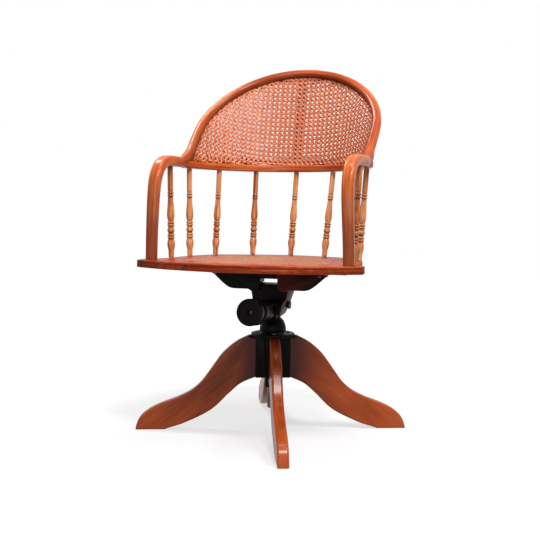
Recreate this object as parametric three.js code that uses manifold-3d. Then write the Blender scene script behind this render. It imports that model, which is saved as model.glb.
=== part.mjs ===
// A bankers swivel chair in bentwood and cane: a caned seat inside a bent arm rail on turned
// spindles, a caned hoop back, and an iron tilt and swivel head on a screw spindle, carried by
// four sawn legs that meet in an iron hub.
// Millimetres, +Z up. The origin is on the floor under the swivel axis, and the sitter faces -Y.
import * as THREE from "three";
import { mergeVertices } from "three/addons/utils/BufferGeometryUtils.js";
import Module from "manifold-3d";

const wasm = await Module();
wasm.setup();

// Fits
const GAP = 0.3; // between pieces that touch
const OVERRUN = 20; // how far a cutting shape runs past what it cuts
const EXTENT = 1200; // a half space used for cuts reaches this far

// Legs and hub
const FOOT_REACH = 337; // swivel axis to the tip of a foot
const HEEL_REACH = 265;
const LEG_HEIGHT = 240;
const LEG_THICK = 26;
const LEG_COUNT = 4;
const BASE_TURN = THREE.MathUtils.degToRad(21.1); // how far the base stands turned from the seat
const HUB_DEEP = 110; // down from the tops of the legs
const HUB_REACH = 43;
const HUB_PLATE = 6;
const HUB_FILLET = 8;
const SOCKET_RADIUS = 19;
const SOCKET_DROP = 25; // below the hub
const CAP_RADIUS = 54;
const CAP_THICK = 9;
const CAP_SCREW_CIRCLE = 38;
const CAP_SCREW_RADIUS = 5;
const CAP_SCREW_HEAD = 2.5;

// Screw spindle
const SCREW_RADIUS = 12.5;
const SCREW_CORE = 10.8;
const SCREW_PITCH = 8;
const SCREW_DROP = 53; // below the socket with the seat at its lowest
const JOURNAL_RADIUS = 9;
const JOURNAL_LENGTH = 22;

// Swivel head
const BELL_RADIUS = 33;
const BELL_HEIGHT = 38;
const PIVOT_BACK = -10; // the tilt pivot, along Y
const PIVOT_RISE = 68.6; // of the tilt pivot, above the bottom of the bell
const PIVOT_TUBE_RADIUS = 12;
const PIVOT_TUBE_HALF = 27;
const PIVOT_PIN_RADIUS = 6;
const PIVOT_HEAD_RADIUS = 10;
const PIVOT_HEAD_THICK = 5;
const LUG_HALF_WIDTH = 14;
const LUG_HALF_DEPTH = 11;

// Tilt housing
const HOUSING_RISE = 50; // above the tilt pivot
const HOUSING_HALF_TOP = 50;
const HOUSING_HALF_LOW = 36;
const HOUSING_DROP = 20; // below the tilt pivot
const HOUSING_WALL = 6;
const HOUSING_HALF_DEPTH = 35;
const HOUSING_NOSE = 64; // how far its cheeks reach forward to the spring barrel
const NOSE_DROP = 26;
const NOSE_RISE = 10;

// Spring barrel and tension knob, on an axis that rises a little towards the front
const TENSION_RISE = THREE.MathUtils.degToRad(5);
const TENSION_DROP = 17.5; // of that axis, below the tilt pivot, where it crosses the swivel axis
const BARREL_RADIUS = 24;
const BARREL_WALL = 4;
const BARREL_LENGTH = 75;
const KNOB_RADIUS = 31.5;
const KNOB_WAIST = 27;
const KNOB_LENGTH = 48;
const KNOB_RIM = 16;
const KNOB_BEAD = 10;
const KNOB_ROUND = 3;
const KNOB_SOCKET = 12;
const KNOB_SOCKET_DEPTH = 8;
const ROD_RADIUS = 5;
const ROD_CLEAR = 5; // from the lug of the swivel head to the rear end of the rod
const ROD_IN_KNOB = 30;
const SPRING_RADIUS = 13.5;
const SPRING_WIRE = 2.2;
const SPRING_TURNS = 6;
const SPRING_SIDES = 5; // facets round the wire, and steps in each turn
const SPRING_STEPS = 8;
const PLATE_RADIUS = 18;
const PLATE_THICK = 4;
const PLATE_SETBACK = 16; // from the front of the barrel to the plate with the knob slack

// Seat irons and the battens they are screwed to
const BATTEN_THICK = 13;
const BATTEN_DEPTH = 60;
const BATTEN_HALF_WIDTH = 200;
const BATTEN_PLACE = 52; // its middle, ahead of the swivel axis or behind it
const IRON_INNER = 22;
const IRON_REACH = 147;
const IRON_DEEP = 31.6; // from the battens down to the housing
const IRON_PLATE = 10; // thickness of the wings
const WING_DEEP = 48; // down to the lowest point of the front wings, in front of the housing
const BAR_INNER = 37;
const BAR_WIDTH = 13;
const REAR_HIP = 56;
const PAD_INNER = 115;
const PAD_HALF = 16;
const PAD_THICK = 5;
const TIE_DROP = 17;
const IRON_SCREW_RADIUS = 5;
const IRON_SCREW_HEAD = 3;

// Seat frame
const SEAT_THICK = 17.5;
const SEAT_CORNER = 264; // half width at the front corners
const SEAT_FRONT = 222; // front corners ahead of the swivel axis
const SEAT_BOW = 80; // how far the front edge bows ahead of its corners
const SEAT_MARGIN = 9; // seat edge outside the spindle line
const SEAT_EAR = 24; // depth of the front corners that stand out past the arm posts
const SPLAY = 9; // of the side spindles, from the seat out to the arms
const SEAT_BOW_START = -118;
const SEAT_BOW_DEPTH = 273;
const FRONT_RAIL_BACK = -186;
const BACK_RAIL_FRONT = 62;
const SIDE_RAIL_INSIDE = 56; // from the spindle line in to the caned opening
const BACK_RAIL_INSIDE = 61;
const CANE_CORNER_INSET = 80; // from the front corners of the seat in to those of the opening
const CANE_FRONT_INSET = 74;
const CANE_CELL = 38; // the weave is drawn as a plain grid of square holes, this far apart
const CANE_HOLE = 16;
const CANE_RIM = 11; // whole cane left round the holes
const CANE_THICK = 2.5;
const CANE_DROP = 0.6;
const SPLINE_WIDTH = 4;
const SPLINE_DEPTH = 6;

// Arms, back rail and spindles
const ARM_HALF = 231; // half width between the arm centre lines
const ARM_WIDTH = 21; // across, and in the plane of the bend
const ARM_DEPTH = 24;
const ARM_ROUND = 6;
const ARM_LEAN = 6; // how far each arm leans in over the seat
const POST_FRONT = 211; // post ahead of the swivel axis
const ARM_OVER_RAIL = 12.3; // centre of the arm above the underside of the rail
const ARM_END = -27;
const RAIL_RISE = 220; // underside of the rail above the seat
const RAIL_START = -108;
const RAIL_DEPTH = 310;
const RAIL_WIDTH = 30;
const RAIL_THICK = 18;
const SPINDLE_RADIUS = 9.5;
const SPINDLE_COUNT = 9;

// Hoop back
const HOOP_THICK = 22;
const HOOP_ROUND = 11;
const HOOP_FOOT_IN = 2; // its feet stand inside the line of the arms
const HOOP_SWELL = 3; // how far it widens above its feet
const HOOP_LEG = 104;
const HOOP_RISE = 245;
const HOOP_LEAN = THREE.MathUtils.degToRad(47); // from upright
const HOOP_FOOT_BACK = 1;
const HOOP_FOOT_RISE = 11; // where its line starts, above the rail
const BACK_CANE_THICK = 2.4;
const BACK_CANE_EDGE = 8; // from the middle of the hoop bar to the line the cane is drawn to
const BACK_CANE_START = -5; // where along the hoop from its foot that line begins
const BACK_CANE_FOOT_IN = 3; // edge of the cane on the rail, inside the line of the arms
const SLAT_WIDTH = 26;
const SLAT_THICK = 6;

// Outlines as shares of the sizes they follow
const legTopShares = [
  [0.163, 0.985], [0.25, 0.925], [0.31, 0.865], [0.37, 0.785], [0.42, 0.69], [0.465, 0.6],
  [0.52, 0.497], [0.59, 0.408], [0.69, 0.335], [0.8, 0.277], [0.878, 0.226], [0.93, 0.178],
  [0.965, 0.128], [0.988, 0.066], [1, 0],
];
const legUnderShares = [
  [0.95, 0.02], [0.815, 0.068], [0.575, 0.2], [0.41, 0.37], [0.3, 0.475], [0.18, 0.535],
];
const seatBowShares = [[1, 0], [0.973, 0.36], [0.824, 0.718], [0.437, 0.905], [0, 1]];
const railBowShares = [[1, 0], [0.985, 0.333], [0.81, 0.652], [0.468, 0.916], [0, 1]];
const spindleShares = [
  [0, 0.54], [0.07, 0.62], [0.155, 0.95], [0.208, 0.62], [0.225, 0.86], [0.245, 0.86],
  [0.258, 0.62], [0.29, 0.96], [0.322, 0.62], [0.335, 0.86], [0.35, 0.86], [0.358, 0.64],
  [0.366, 0.86], [0.38, 0.86], [0.392, 0.68], [0.44, 1], [0.52, 0.86], [0.66, 0.6],
  [0.672, 0.82], [0.69, 0.82], [0.698, 0.62], [0.706, 0.82], [0.722, 0.82], [0.732, 0.6],
  [1, 0.52],
];
// Arm centre line: shares of the lean inwards, of the run back and of the rise from the seat
const armShares = [
  [0, 0, 0], [0.25, -0.005, 0.235], [0.67, -0.01, 0.49], [0.92, 0, 0.66], [1, 0.045, 0.81],
  [1, 0.16, 0.925], [0.85, 0.33, 0.985], [0.35, 0.58, 1], [0, 0.82, 1], [0, 1, 1],
];
// Wing outlines: shares of the reach outwards and of the depth down from the battens
const frontWingShares = [
  [0, 0], [0.004, 0.79], [0.024, 0.945], [0.072, 1], [0.176, 1], [0.232, 0.908], [0.544, 0.908],
  [0.624, 0.863], [0.688, 0.769], [0.768, 0.613], [0.864, 0.394], [0.936, 0.227], [1, 0.133], [1, 0],
];
const rearWingShares = [[0.384, 0.394], [0.624, 0.217], [1, 0.133], [1, 0]];
const caneTuckShare = 0.955; // how far the foot of the cane draws in under the hoop
const bellShares = [[1, 0], [0.99, 0.28], [0.93, 0.5], [0.8, 0.74], [0.62, 0.9], [0.45, 1]];

// Facet counts
const ROUND_SIDES = 20;
const SPINDLE_SIDES = 9;
const SCREW_SIDES = 12;
const PLAN_STEPS = 32;
const ARM_STEPS = 20;
const HOOP_STEPS = 40;
const RAIL_SAMPLES = 256;
const SHEET_COLUMNS = 28;
const SHEET_ROWS = 5;
const CANE_COLUMNS = 12; // of holes, at the most
const SLAT_COLUMNS = 2;

// Finishes
const finish = (color, roughness, metalness) => ({ color, roughness, metalness });
const legWood = finish(0x8a3f1c, 0.35, 0);
const armWood = finish(0xb2602f, 0.32, 0);
const spindleWood = finish(0xbd7a45, 0.4, 0);
const seatWood = finish(0x9a4424, 0.35, 0);
const battenWood = finish(0xb9977a, 0.7, 0);
const backCane = finish(0xd08a60, 0.6, 0);
const seatCane = finish(0xb87848, 0.6, 0);
const blackIron = finish(0x161514, 0.45, 0.6);
const brightSteel = finish(0x8c8a86, 0.35, 0.9);

const chair = new THREE.Group();

// Heights, one piece standing on the next
const capTop = LEG_HEIGHT + GAP;
const capBottom = capTop - CAP_THICK;
const hubBottom = LEG_HEIGHT - HUB_DEEP;
const socketBottom = hubBottom - SOCKET_DROP;
const screwBottom = socketBottom - SCREW_DROP;
const bellBottom = capTop + CAP_SCREW_HEAD + 2 * GAP;
const pivotHeight = bellBottom + PIVOT_RISE;
const tensionHeight = pivotHeight - TENSION_DROP;
const housingTop = pivotHeight + HOUSING_RISE;
const housingLow = pivotHeight - HOUSING_DROP;
const noseLow = pivotHeight - NOSE_DROP;
const noseTop = pivotHeight + NOSE_RISE;
const ironTop = housingTop + GAP + IRON_DEEP;
const battenBottom = ironTop + GAP;
const battenTop = battenBottom + BATTEN_THICK;
const seatBottom = battenTop + GAP;
const seatTop = seatBottom + SEAT_THICK;
const railUnder = seatTop + RAIL_RISE;
const railTop = railUnder + RAIL_THICK;
const armLevel = railUnder + ARM_OVER_RAIL;

// Half widths, all from the arms
const seatBowHalf = ARM_HALF - SPLAY;
const caneHalfBack = seatBowHalf - SIDE_RAIL_INSIDE;
const hoopFootHalf = ARM_HALF - HOOP_FOOT_IN;
const hoopHalf = hoopFootHalf + HOOP_SWELL;
const backCaneFoot = ARM_HALF - BACK_CANE_FOOT_IN;

function add(name, geometry, look, parent = chair) {
  const mesh = new THREE.Mesh(geometry, new THREE.MeshStandardMaterial(look));
  mesh.name = name;
  parent.add(mesh);
  return mesh;
}

// Solids for cutting and joining
function solid(geometry) {
  const bare = geometry.index ? geometry.toNonIndexed() : geometry.clone();
  bare.deleteAttribute("normal");
  bare.deleteAttribute("uv");
  const merged = mergeVertices(bare, GAP / 1000);
  return new wasm.Manifold(
    new wasm.Mesh({
      numProp: 3,
      vertProperties: merged.attributes.position.array,
      triVerts: new Uint32Array(merged.index.array),
    }),
  );
}

function skin(manifold) {
  const mesh = manifold.getMesh();
  const geometry = new THREE.BufferGeometry();
  geometry.setAttribute("position", new THREE.BufferAttribute(mesh.vertProperties, mesh.numProp));
  geometry.setIndex(new THREE.BufferAttribute(mesh.triVerts, 1));
  return geometry;
}

// A box between two corners
function block(x0, y0, z0, x1, y1, z1) {
  return new THREE.BoxGeometry(x1 - x0, y1 - y0, z1 - z0).translate(
    (x0 + x1) / 2,
    (y0 + y1) / 2,
    (z0 + z1) / 2,
  );
}

// A cylinder along X, centred
function roller(radius, length, sides = ROUND_SIDES) {
  return new THREE.CylinderGeometry(radius, radius, length, sides).rotateZ(Math.PI / 2);
}

// An outline of [x, y] corners as a shape
const outline = (corners) => new THREE.Shape(corners.map(([x, y]) => new THREE.Vector2(x, y)));

// A plan outline raised from one height to another
function slab(shape, low, high) {
  const settings = { depth: high - low, bevelEnabled: false, curveSegments: 6 };
  return new THREE.ExtrudeGeometry(shape, settings).translate(0, 0, low);
}

// An outline of [x, z] corners, drawn in the XZ plane, between two places along Y
function gate(corners, front, back) {
  const settings = { depth: back - front, bevelEnabled: false };
  return new THREE.ExtrudeGeometry(outline(corners), settings)
    .rotateX(Math.PI / 2)
    .translate(0, back, 0);
}

// An outline of [y, z] corners, drawn in the YZ plane, between two places along X
function cheek(corners, left, right) {
  const settings = { depth: right - left, bevelEnabled: false };
  return new THREE.ExtrudeGeometry(outline(corners), settings)
    .applyMatrix4(new THREE.Matrix4().set(0, 0, 1, left, 1, 0, 0, 0, 0, 1, 0, 0, 0, 0, 0, 1));
}

function roundedSection(width, depth, radius) {
  const w = width / 2;
  const d = depth / 2;
  const shape = new THREE.Shape();
  shape.moveTo(-w + radius, -d);
  shape.lineTo(w - radius, -d);
  shape.quadraticCurveTo(w, -d, w, -d + radius);
  shape.lineTo(w, d - radius);
  shape.quadraticCurveTo(w, d, w - radius, d);
  shape.lineTo(-w + radius, d);
  shape.quadraticCurveTo(-w, d, -w, d - radius);
  shape.lineTo(-w, -d + radius);
  shape.quadraticCurveTo(-w, -d, -w + radius, -d);
  return shape;
}

// The bent plan line of the seat or the rail, left front to right front
function bowLine(shares, half, start, depth) {
  const right = shares.map(([across, back]) => [across * half, start + back * depth]);
  const left = right.slice(0, -1).map(([x, y]) => [-x, y]);
  const points = [...left, ...right.reverse()].map(([x, y]) => new THREE.Vector3(x, y, 0));
  return new THREE.CatmullRomCurve3(points, false, "centripetal");
}

const seatBow = bowLine(seatBowShares, seatBowHalf, SEAT_BOW_START, SEAT_BOW_DEPTH);
const railBow = bowLine(railBowShares, ARM_HALF, RAIL_START, RAIL_DEPTH);

// Points beside a plan line, from its left front end to its right front end
function beside(curve, offset, steps = PLAN_STEPS) {
  return Array.from({ length: steps + 1 }, (_, i) => {
    const at = curve.getPointAt(i / steps);
    const along = curve.getTangentAt(i / steps);
    return [at.x - along.y * offset, at.y + along.x * offset];
  });
}

// Legs: one S outline each, sawn from plank, with the foot flat on the floor
function legShape() {
  const place = ([out, up]) => new THREE.Vector2(out * FOOT_REACH, up * LEG_HEIGHT);
  const under = ([out, up]) => new THREE.Vector2(out * HEEL_REACH, up * LEG_HEIGHT);
  const shape = new THREE.Shape();
  const top = legTopShares.map(place);
  shape.moveTo(SOCKET_RADIUS + GAP, capBottom - GAP);
  shape.lineTo(CAP_RADIUS + GAP, capBottom - GAP);
  shape.lineTo(top[0].x, top[0].y);
  shape.splineThru(top.slice(1));
  shape.lineTo(HEEL_REACH, 0);
  shape.splineThru(legUnderShares.map(under));
  shape.lineTo(HUB_REACH, hubBottom);
  shape.lineTo(SOCKET_RADIUS + GAP, hubBottom);
  return shape;
}

function leg() {
  const settings = { depth: LEG_THICK, bevelEnabled: false, curveSegments: 3 };
  return new THREE.ExtrudeGeometry(legShape(), settings)
    .rotateX(Math.PI / 2)
    .translate(0, LEG_THICK / 2, 0);
}

function hubAngle() {
  const near = LEG_THICK / 2 + GAP;
  const far = near + HUB_PLATE;
  const shape = new THREE.Shape();
  shape.moveTo(near, near);
  shape.lineTo(HUB_REACH, near);
  shape.lineTo(HUB_REACH, far);
  shape.lineTo(far + HUB_FILLET, far);
  shape.quadraticCurveTo(far, far, far, far + HUB_FILLET);
  shape.lineTo(far, HUB_REACH);
  shape.lineTo(near, HUB_REACH);
  const angle = solid(slab(shape, hubBottom, capBottom - GAP));
  const bore = new THREE.CylinderGeometry(SOCKET_RADIUS + GAP, SOCKET_RADIUS + GAP, EXTENT, ROUND_SIDES);
  return skin(angle.subtract(solid(bore.rotateX(Math.PI / 2))));
}

// A ring or tube standing on Z
function ring(inner, outer, low, high, sides = ROUND_SIDES) {
  const profile = [[inner, low], [outer, low], [outer, high], [inner, high], [inner, low]];
  return turned(profile, sides);
}

// A turning about Z from [radius, height] pairs
function turned(profile, sides = ROUND_SIDES) {
  const points = profile.map(([r, z]) => new THREE.Vector2(r, z));
  return new THREE.LatheGeometry(points, sides).rotateX(Math.PI / 2);
}

function pan(radius, height) {
  const edge = height / 2;
  return turned([[0, 0], [radius, 0], [radius, edge], [radius - edge, height], [0, height]], SCREW_SIDES);
}

const base = new THREE.Group();
base.rotation.z = BASE_TURN;
chair.add(base);
for (let i = 0; i < LEG_COUNT; i++) {
  const turn = (i * 2 * Math.PI) / LEG_COUNT;
  add(`leg_${i + 1}`, leg(), legWood, base).rotation.z = turn;
  add(`hub_angle_${i + 1}`, hubAngle(), blackIron, base).rotation.z = turn;
  const screw = add(`cap_screw_${i + 1}`, pan(CAP_SCREW_RADIUS, CAP_SCREW_HEAD), brightSteel, base);
  const x = Math.cos(turn) * CAP_SCREW_CIRCLE;
  screw.position.set(x, Math.sin(turn) * CAP_SCREW_CIRCLE, capTop + GAP);
}
add("hub_socket", ring(SCREW_RADIUS + GAP, SOCKET_RADIUS, socketBottom, capBottom - GAP), blackIron, base);
add("cap_plate", ring(SCREW_RADIUS + GAP, CAP_RADIUS, capBottom, capTop), blackIron, base);

// Screw spindle: threads drawn as rings, with a plain journal on top
function spindleScrew() {
  const profile = [[0, screwBottom]];
  const threads = Math.floor((bellBottom - screwBottom) / SCREW_PITCH);
  for (let i = 0; i < threads; i++) {
    const low = screwBottom + i * SCREW_PITCH;
    profile.push([SCREW_CORE, low], [SCREW_RADIUS, low + SCREW_PITCH / 2]);
  }
  profile.push([SCREW_CORE, bellBottom - GAP], [JOURNAL_RADIUS, bellBottom - GAP]);
  profile.push([JOURNAL_RADIUS, bellBottom + JOURNAL_LENGTH - GAP]);
  profile.push([0, bellBottom + JOURNAL_LENGTH - GAP]);
  return turned(profile, SCREW_SIDES);
}
add("screw_spindle", spindleScrew(), brightSteel);

// Swivel head: a bell over the spindle top, with a lug and a cross tube for the tilt pivot
function swivelHead() {
  const bore = JOURNAL_RADIUS + GAP;
  const roof = bellBottom + JOURNAL_LENGTH;
  const profile = bellShares.map(([r, z]) => [r * BELL_RADIUS, bellBottom + z * BELL_HEIGHT]);
  profile.push([0, bellBottom + BELL_HEIGHT], [0, roof], [bore, roof], [bore, bellBottom]);
  profile.push([BELL_RADIUS, bellBottom]);
  const lug = block(
    -LUG_HALF_WIDTH, PIVOT_BACK - LUG_HALF_DEPTH, roof,
    LUG_HALF_WIDTH, PIVOT_BACK + LUG_HALF_DEPTH, pivotHeight,
  );
  const tube = roller(PIVOT_TUBE_RADIUS, 2 * PIVOT_TUBE_HALF).translate(0, PIVOT_BACK, pivotHeight);
  const hole = roller(PIVOT_PIN_RADIUS + GAP, EXTENT).translate(0, PIVOT_BACK, pivotHeight);
  return skin(solid(turned(profile)).add(solid(lug)).add(solid(tube)).subtract(solid(hole)));
}
add("swivel_head", swivelHead(), blackIron);

// Tilt housing: a channel with splayed cheeks, a front web and a nose plate for the barrel
const nosePlate = HOUSING_NOSE - HOUSING_WALL;
const cheekSlope = (HOUSING_HALF_TOP - HOUSING_HALF_LOW) / (housingTop - housingLow);
const halfAt = (z) => HOUSING_HALF_LOW + (z - housingLow) * cheekSlope;
function tiltHousing() {
  const low = noseLow - OVERRUN;
  const roof = housingTop - HOUSING_WALL;
  const channel = gate(
    [
      [-halfAt(low), low], [-HOUSING_HALF_TOP, housingTop], [HOUSING_HALF_TOP, housingTop],
      [halfAt(low), low], [halfAt(low) - HOUSING_WALL, low], [halfAt(roof) - HOUSING_WALL, roof],
      [-halfAt(roof) + HOUSING_WALL, roof], [-halfAt(low) + HOUSING_WALL, low],
    ],
    -HOUSING_NOSE, HOUSING_HALF_DEPTH,
  );
  const heel = housingTop - 2 * HOUSING_WALL;
  const side = cheek(
    [
      [-HOUSING_HALF_DEPTH, housingTop], [-HOUSING_HALF_DEPTH, noseTop + HOUSING_WALL],
      [-nosePlate, noseTop], [-HOUSING_NOSE, noseTop - HOUSING_WALL],
      [-HOUSING_NOSE, noseLow + HOUSING_WALL], [-nosePlate, noseLow],
      [PIVOT_BACK, housingLow], [-PIVOT_BACK, pivotHeight], [HOUSING_HALF_DEPTH, heel],
      [HOUSING_HALF_DEPTH, housingTop],
    ],
    -EXTENT, EXTENT,
  );
  const within = (z) => halfAt(z) - HOUSING_WALL / 2;
  const plate = (from, to, front) =>
    gate(
      [[-within(from), from], [within(from), from], [within(to), to], [-within(to), to]],
      front, front + HOUSING_WALL,
    );
  const web = plate(noseTop, roof + HOUSING_WALL / 2, -HOUSING_HALF_DEPTH);
  const nose = plate(noseLow + HOUSING_WALL, noseTop - HOUSING_WALL, -HOUSING_NOSE);
  const rod = roller(ROD_RADIUS + GAP, EXTENT, SCREW_SIDES).rotateZ(Math.PI / 2);
  const rodHole = rod.rotateX(-TENSION_RISE).translate(0, 0, tensionHeight);
  const pinHole = roller(PIVOT_PIN_RADIUS + GAP, EXTENT).translate(0, PIVOT_BACK, pivotHeight);
  const shell = solid(channel).intersect(solid(side)).add(solid(web)).add(solid(nose));
  return skin(shell.subtract(solid(rodHole)).subtract(solid(pinHole)));
}
add("tilt_housing", tiltHousing(), blackIron);

const pinHalf = halfAt(pivotHeight + PIVOT_HEAD_RADIUS) + GAP;
function pivotPin() {
  const shank = roller(PIVOT_PIN_RADIUS, 2 * pinHalf, SCREW_SIDES);
  const head = roller(PIVOT_HEAD_RADIUS, PIVOT_HEAD_THICK, ROUND_SIDES);
  const right = head.clone().translate(pinHalf + PIVOT_HEAD_THICK / 2 - GAP / 2, 0, 0);
  const left = head.clone().translate(-pinHalf - PIVOT_HEAD_THICK / 2 + GAP / 2, 0, 0);
  return skin(solid(shank).add(solid(right)).add(solid(left)));
}
add("pivot_pin", pivotPin(), brightSteel).position.set(0, PIVOT_BACK, pivotHeight);

// Spring barrel, rod, spring and knob, turned about the local Y axis, with the front at -Y
const tension = new THREE.Group();
tension.position.z = tensionHeight;
tension.rotation.x = -TENSION_RISE;
chair.add(tension);
const barrelDip = BARREL_RADIUS * Math.sin(TENSION_RISE);
const barrelRear = (HOUSING_NOSE + GAP + barrelDip) / Math.cos(TENSION_RISE);
const barrelFront = barrelRear + BARREL_LENGTH;
const knobRear = barrelFront + GAP;
const knobFront = knobRear + KNOB_LENGTH;
const plateRear = barrelFront - PLATE_SETBACK - PLATE_THICK;

// A turning along the barrel, from [radius, distance ahead of the swivel axis] pairs
function turnedAhead(profile, sides = ROUND_SIDES) {
  const points = profile.map(([r, ahead]) => new THREE.Vector2(r, -ahead)).reverse();
  return new THREE.LatheGeometry(points, sides);
}

add(
  "spring_barrel",
  turnedAhead([
    [ROD_RADIUS + GAP, barrelRear], [BARREL_RADIUS, barrelRear], [BARREL_RADIUS, barrelFront],
    [BARREL_RADIUS - BARREL_WALL, barrelFront],
    [BARREL_RADIUS - BARREL_WALL, barrelRear + BARREL_WALL],
    [ROD_RADIUS + GAP, barrelRear + BARREL_WALL], [ROD_RADIUS + GAP, barrelRear],
  ]),
  blackIron,
  tension,
);
const rodRear = LUG_HALF_DEPTH - PIVOT_BACK + ROD_CLEAR;
const rodFront = knobRear + ROD_IN_KNOB;
add(
  "tension_rod",
  turnedAhead([[0, rodRear], [ROD_RADIUS, rodRear], [ROD_RADIUS, rodFront], [0, rodFront]], SCREW_SIDES),
  brightSteel,
  tension,
);
add(
  "spring_plate",
  turnedAhead([
    [ROD_RADIUS + GAP, plateRear], [PLATE_RADIUS, plateRear], [PLATE_RADIUS, plateRear + PLATE_THICK],
    [ROD_RADIUS + GAP, plateRear + PLATE_THICK], [ROD_RADIUS + GAP, plateRear],
  ]),
  brightSteel,
  tension,
);

function tensionKnob() {
  const bead = knobRear + KNOB_BEAD;
  const rim = knobFront - KNOB_RIM;
  const turning = turnedAhead([
    [ROD_RADIUS + GAP, knobRear], [KNOB_RADIUS - KNOB_ROUND, knobRear],
    [KNOB_RADIUS, knobRear + KNOB_ROUND], [KNOB_RADIUS, bead - KNOB_ROUND], [KNOB_WAIST, bead],
    [KNOB_WAIST, rim], [KNOB_RADIUS, rim + KNOB_ROUND], [KNOB_RADIUS, knobFront - KNOB_ROUND],
    [KNOB_RADIUS - KNOB_ROUND, knobFront], [0, knobFront], [0, rodFront + GAP],
    [ROD_RADIUS + GAP, rodFront + GAP], [ROD_RADIUS + GAP, knobRear],
  ]);
  const half = KNOB_SOCKET / 2;
  const pocket = block(-half, -knobFront - OVERRUN, -half, half, -knobFront + KNOB_SOCKET_DEPTH, half);
  return skin(solid(turning).subtract(solid(pocket)));
}
add("tension_knob", tensionKnob(), blackIron, tension);

// The spring: a helix of round wire between the barrel's rear wall and the plate
class Helix extends THREE.Curve {
  constructor(radius, turns, start, end) {
    super();
    Object.assign(this, { radius, turns, start, end });
  }
  getPoint(t, target = new THREE.Vector3()) {
    const angle = t * this.turns * 2 * Math.PI;
    const along = -THREE.MathUtils.lerp(this.start, this.end, t);
    return target.set(this.radius * Math.cos(angle), along, this.radius * Math.sin(angle));
  }
}
function wireSection(radius, sides) {
  const corners = Array.from({ length: sides }, (_, i) => {
    const angle = (i * 2 * Math.PI) / sides;
    return [radius * Math.cos(angle), radius * Math.sin(angle)];
  });
  return outline(corners);
}
const springRear = barrelRear + BARREL_WALL + SPRING_WIRE + GAP;
const springFront = plateRear - SPRING_WIRE - GAP;
const springGap = (springFront - springRear) / SPRING_TURNS - 2 * SPRING_WIRE;
console.log("least gap between spring turns", springGap.toFixed(2), "mm");
add(
  "coil_spring",
  new THREE.ExtrudeGeometry(wireSection(SPRING_WIRE, SPRING_SIDES), {
    steps: SPRING_TURNS * SPRING_STEPS,
    extrudePath: new Helix(SPRING_RADIUS, SPRING_TURNS, springRear, springFront),
    bevelEnabled: false,
  }),
  brightSteel,
  tension,
);

// Battens under the seat and the two irons screwed to them
const battens = { front: -BATTEN_PLACE, rear: BATTEN_PLACE };
for (const [where, y] of Object.entries(battens)) {
  const half = BATTEN_DEPTH / 2;
  add(
    `${where}_batten`,
    block(-BATTEN_HALF_WIDTH, y - half, battenBottom, BATTEN_HALF_WIDTH, y + half, battenTop),
    battenWood,
  );
}

const wingPlace = HOUSING_HALF_DEPTH + GAP; // inner faces of the wings, before and behind the housing
const ironHalf = wingPlace + IRON_PLATE;
function seatIron() {
  const place = ([out, down]) => [
    THREE.MathUtils.lerp(IRON_INNER, IRON_REACH, out),
    ironTop - down * WING_DEEP,
  ];
  const foot = ironTop - IRON_DEEP;
  const front = gate(frontWingShares.map(place).reverse(), -ironHalf, -wingPlace);
  const hip = [[BAR_INNER, ironTop], [BAR_INNER, foot], [REAR_HIP, foot]];
  const rear = gate([...hip, ...rearWingShares.map(place)].reverse(), wingPlace, ironHalf);
  const bar = block(BAR_INNER, -ironHalf, foot, BAR_INNER + BAR_WIDTH, ironHalf, ironTop);
  const pads = Object.values(battens).map((y) =>
    solid(block(PAD_INNER, y - PAD_HALF, ironTop - PAD_THICK, IRON_REACH, y + PAD_HALF, ironTop)),
  );
  return solid(bar).add(solid(front)).add(solid(rear)).add(pads[0]).add(pads[1]);
}
const rightIron = skin(seatIron());
add("seat_iron_right", rightIron, blackIron);
add("seat_iron_left", rightIron, blackIron).scale.x = -1;
add(
  "iron_tie",
  block(-IRON_INNER + GAP, -ironHalf, ironTop - TIE_DROP, IRON_INNER - GAP, -wingPlace, ironTop),
  blackIron,
);
let ironScrews = 0;
for (const side of [-1, 1]) {
  for (const y of Object.values(battens)) {
    ironScrews += 1;
    const screw = add(`iron_screw_${ironScrews}`, pan(IRON_SCREW_RADIUS, IRON_SCREW_HEAD), brightSteel);
    const outboard = Math.sign(y) * (PAD_HALF - IRON_SCREW_RADIUS);
    screw.rotation.x = Math.PI;
    screw.position.set(side * (IRON_REACH + PAD_INNER) / 2, y + outboard, ironTop - PAD_THICK - GAP);
  }
}

// Seat frame: one outline, sawn into front, side and back rails round the caned opening
const frontRadius = (SEAT_CORNER ** 2 + SEAT_BOW ** 2) / (2 * SEAT_BOW);
const frontEdge = (x) => frontRadius - SEAT_BOW - SEAT_FRONT - Math.sqrt(frontRadius ** 2 - x ** 2);

// Points of the bowed front edge or a line behind it, from right to left
function frontLine(corner, setback) {
  const steps = PLAN_STEPS / 2;
  return Array.from({ length: steps + 1 }, (_, i) => {
    const x = corner - (2 * corner * i) / steps;
    return [x, frontEdge(x) + setback];
  });
}

// The caned opening, drawn in all round by an inset: a bowed front and an elliptical back
const caneDepth = SEAT_BOW_DEPTH - BACK_RAIL_INSIDE;
const caneHalfFront = SEAT_CORNER - CANE_CORNER_INSET;
function openingSlab(inset, low, high) {
  const across = caneHalfBack - inset;
  const deep = caneDepth - inset;
  const back = Array.from({ length: PLAN_STEPS + 1 }, (_, i) => {
    const angle = Math.PI - (Math.PI * i) / PLAN_STEPS;
    return [across * Math.cos(angle), SEAT_BOW_START + deep * Math.sin(angle)];
  });
  const front = frontLine(caneHalfFront - inset, CANE_FRONT_INSET + inset);
  return solid(slab(outline([...back, ...front].reverse()), low, high));
}

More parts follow.
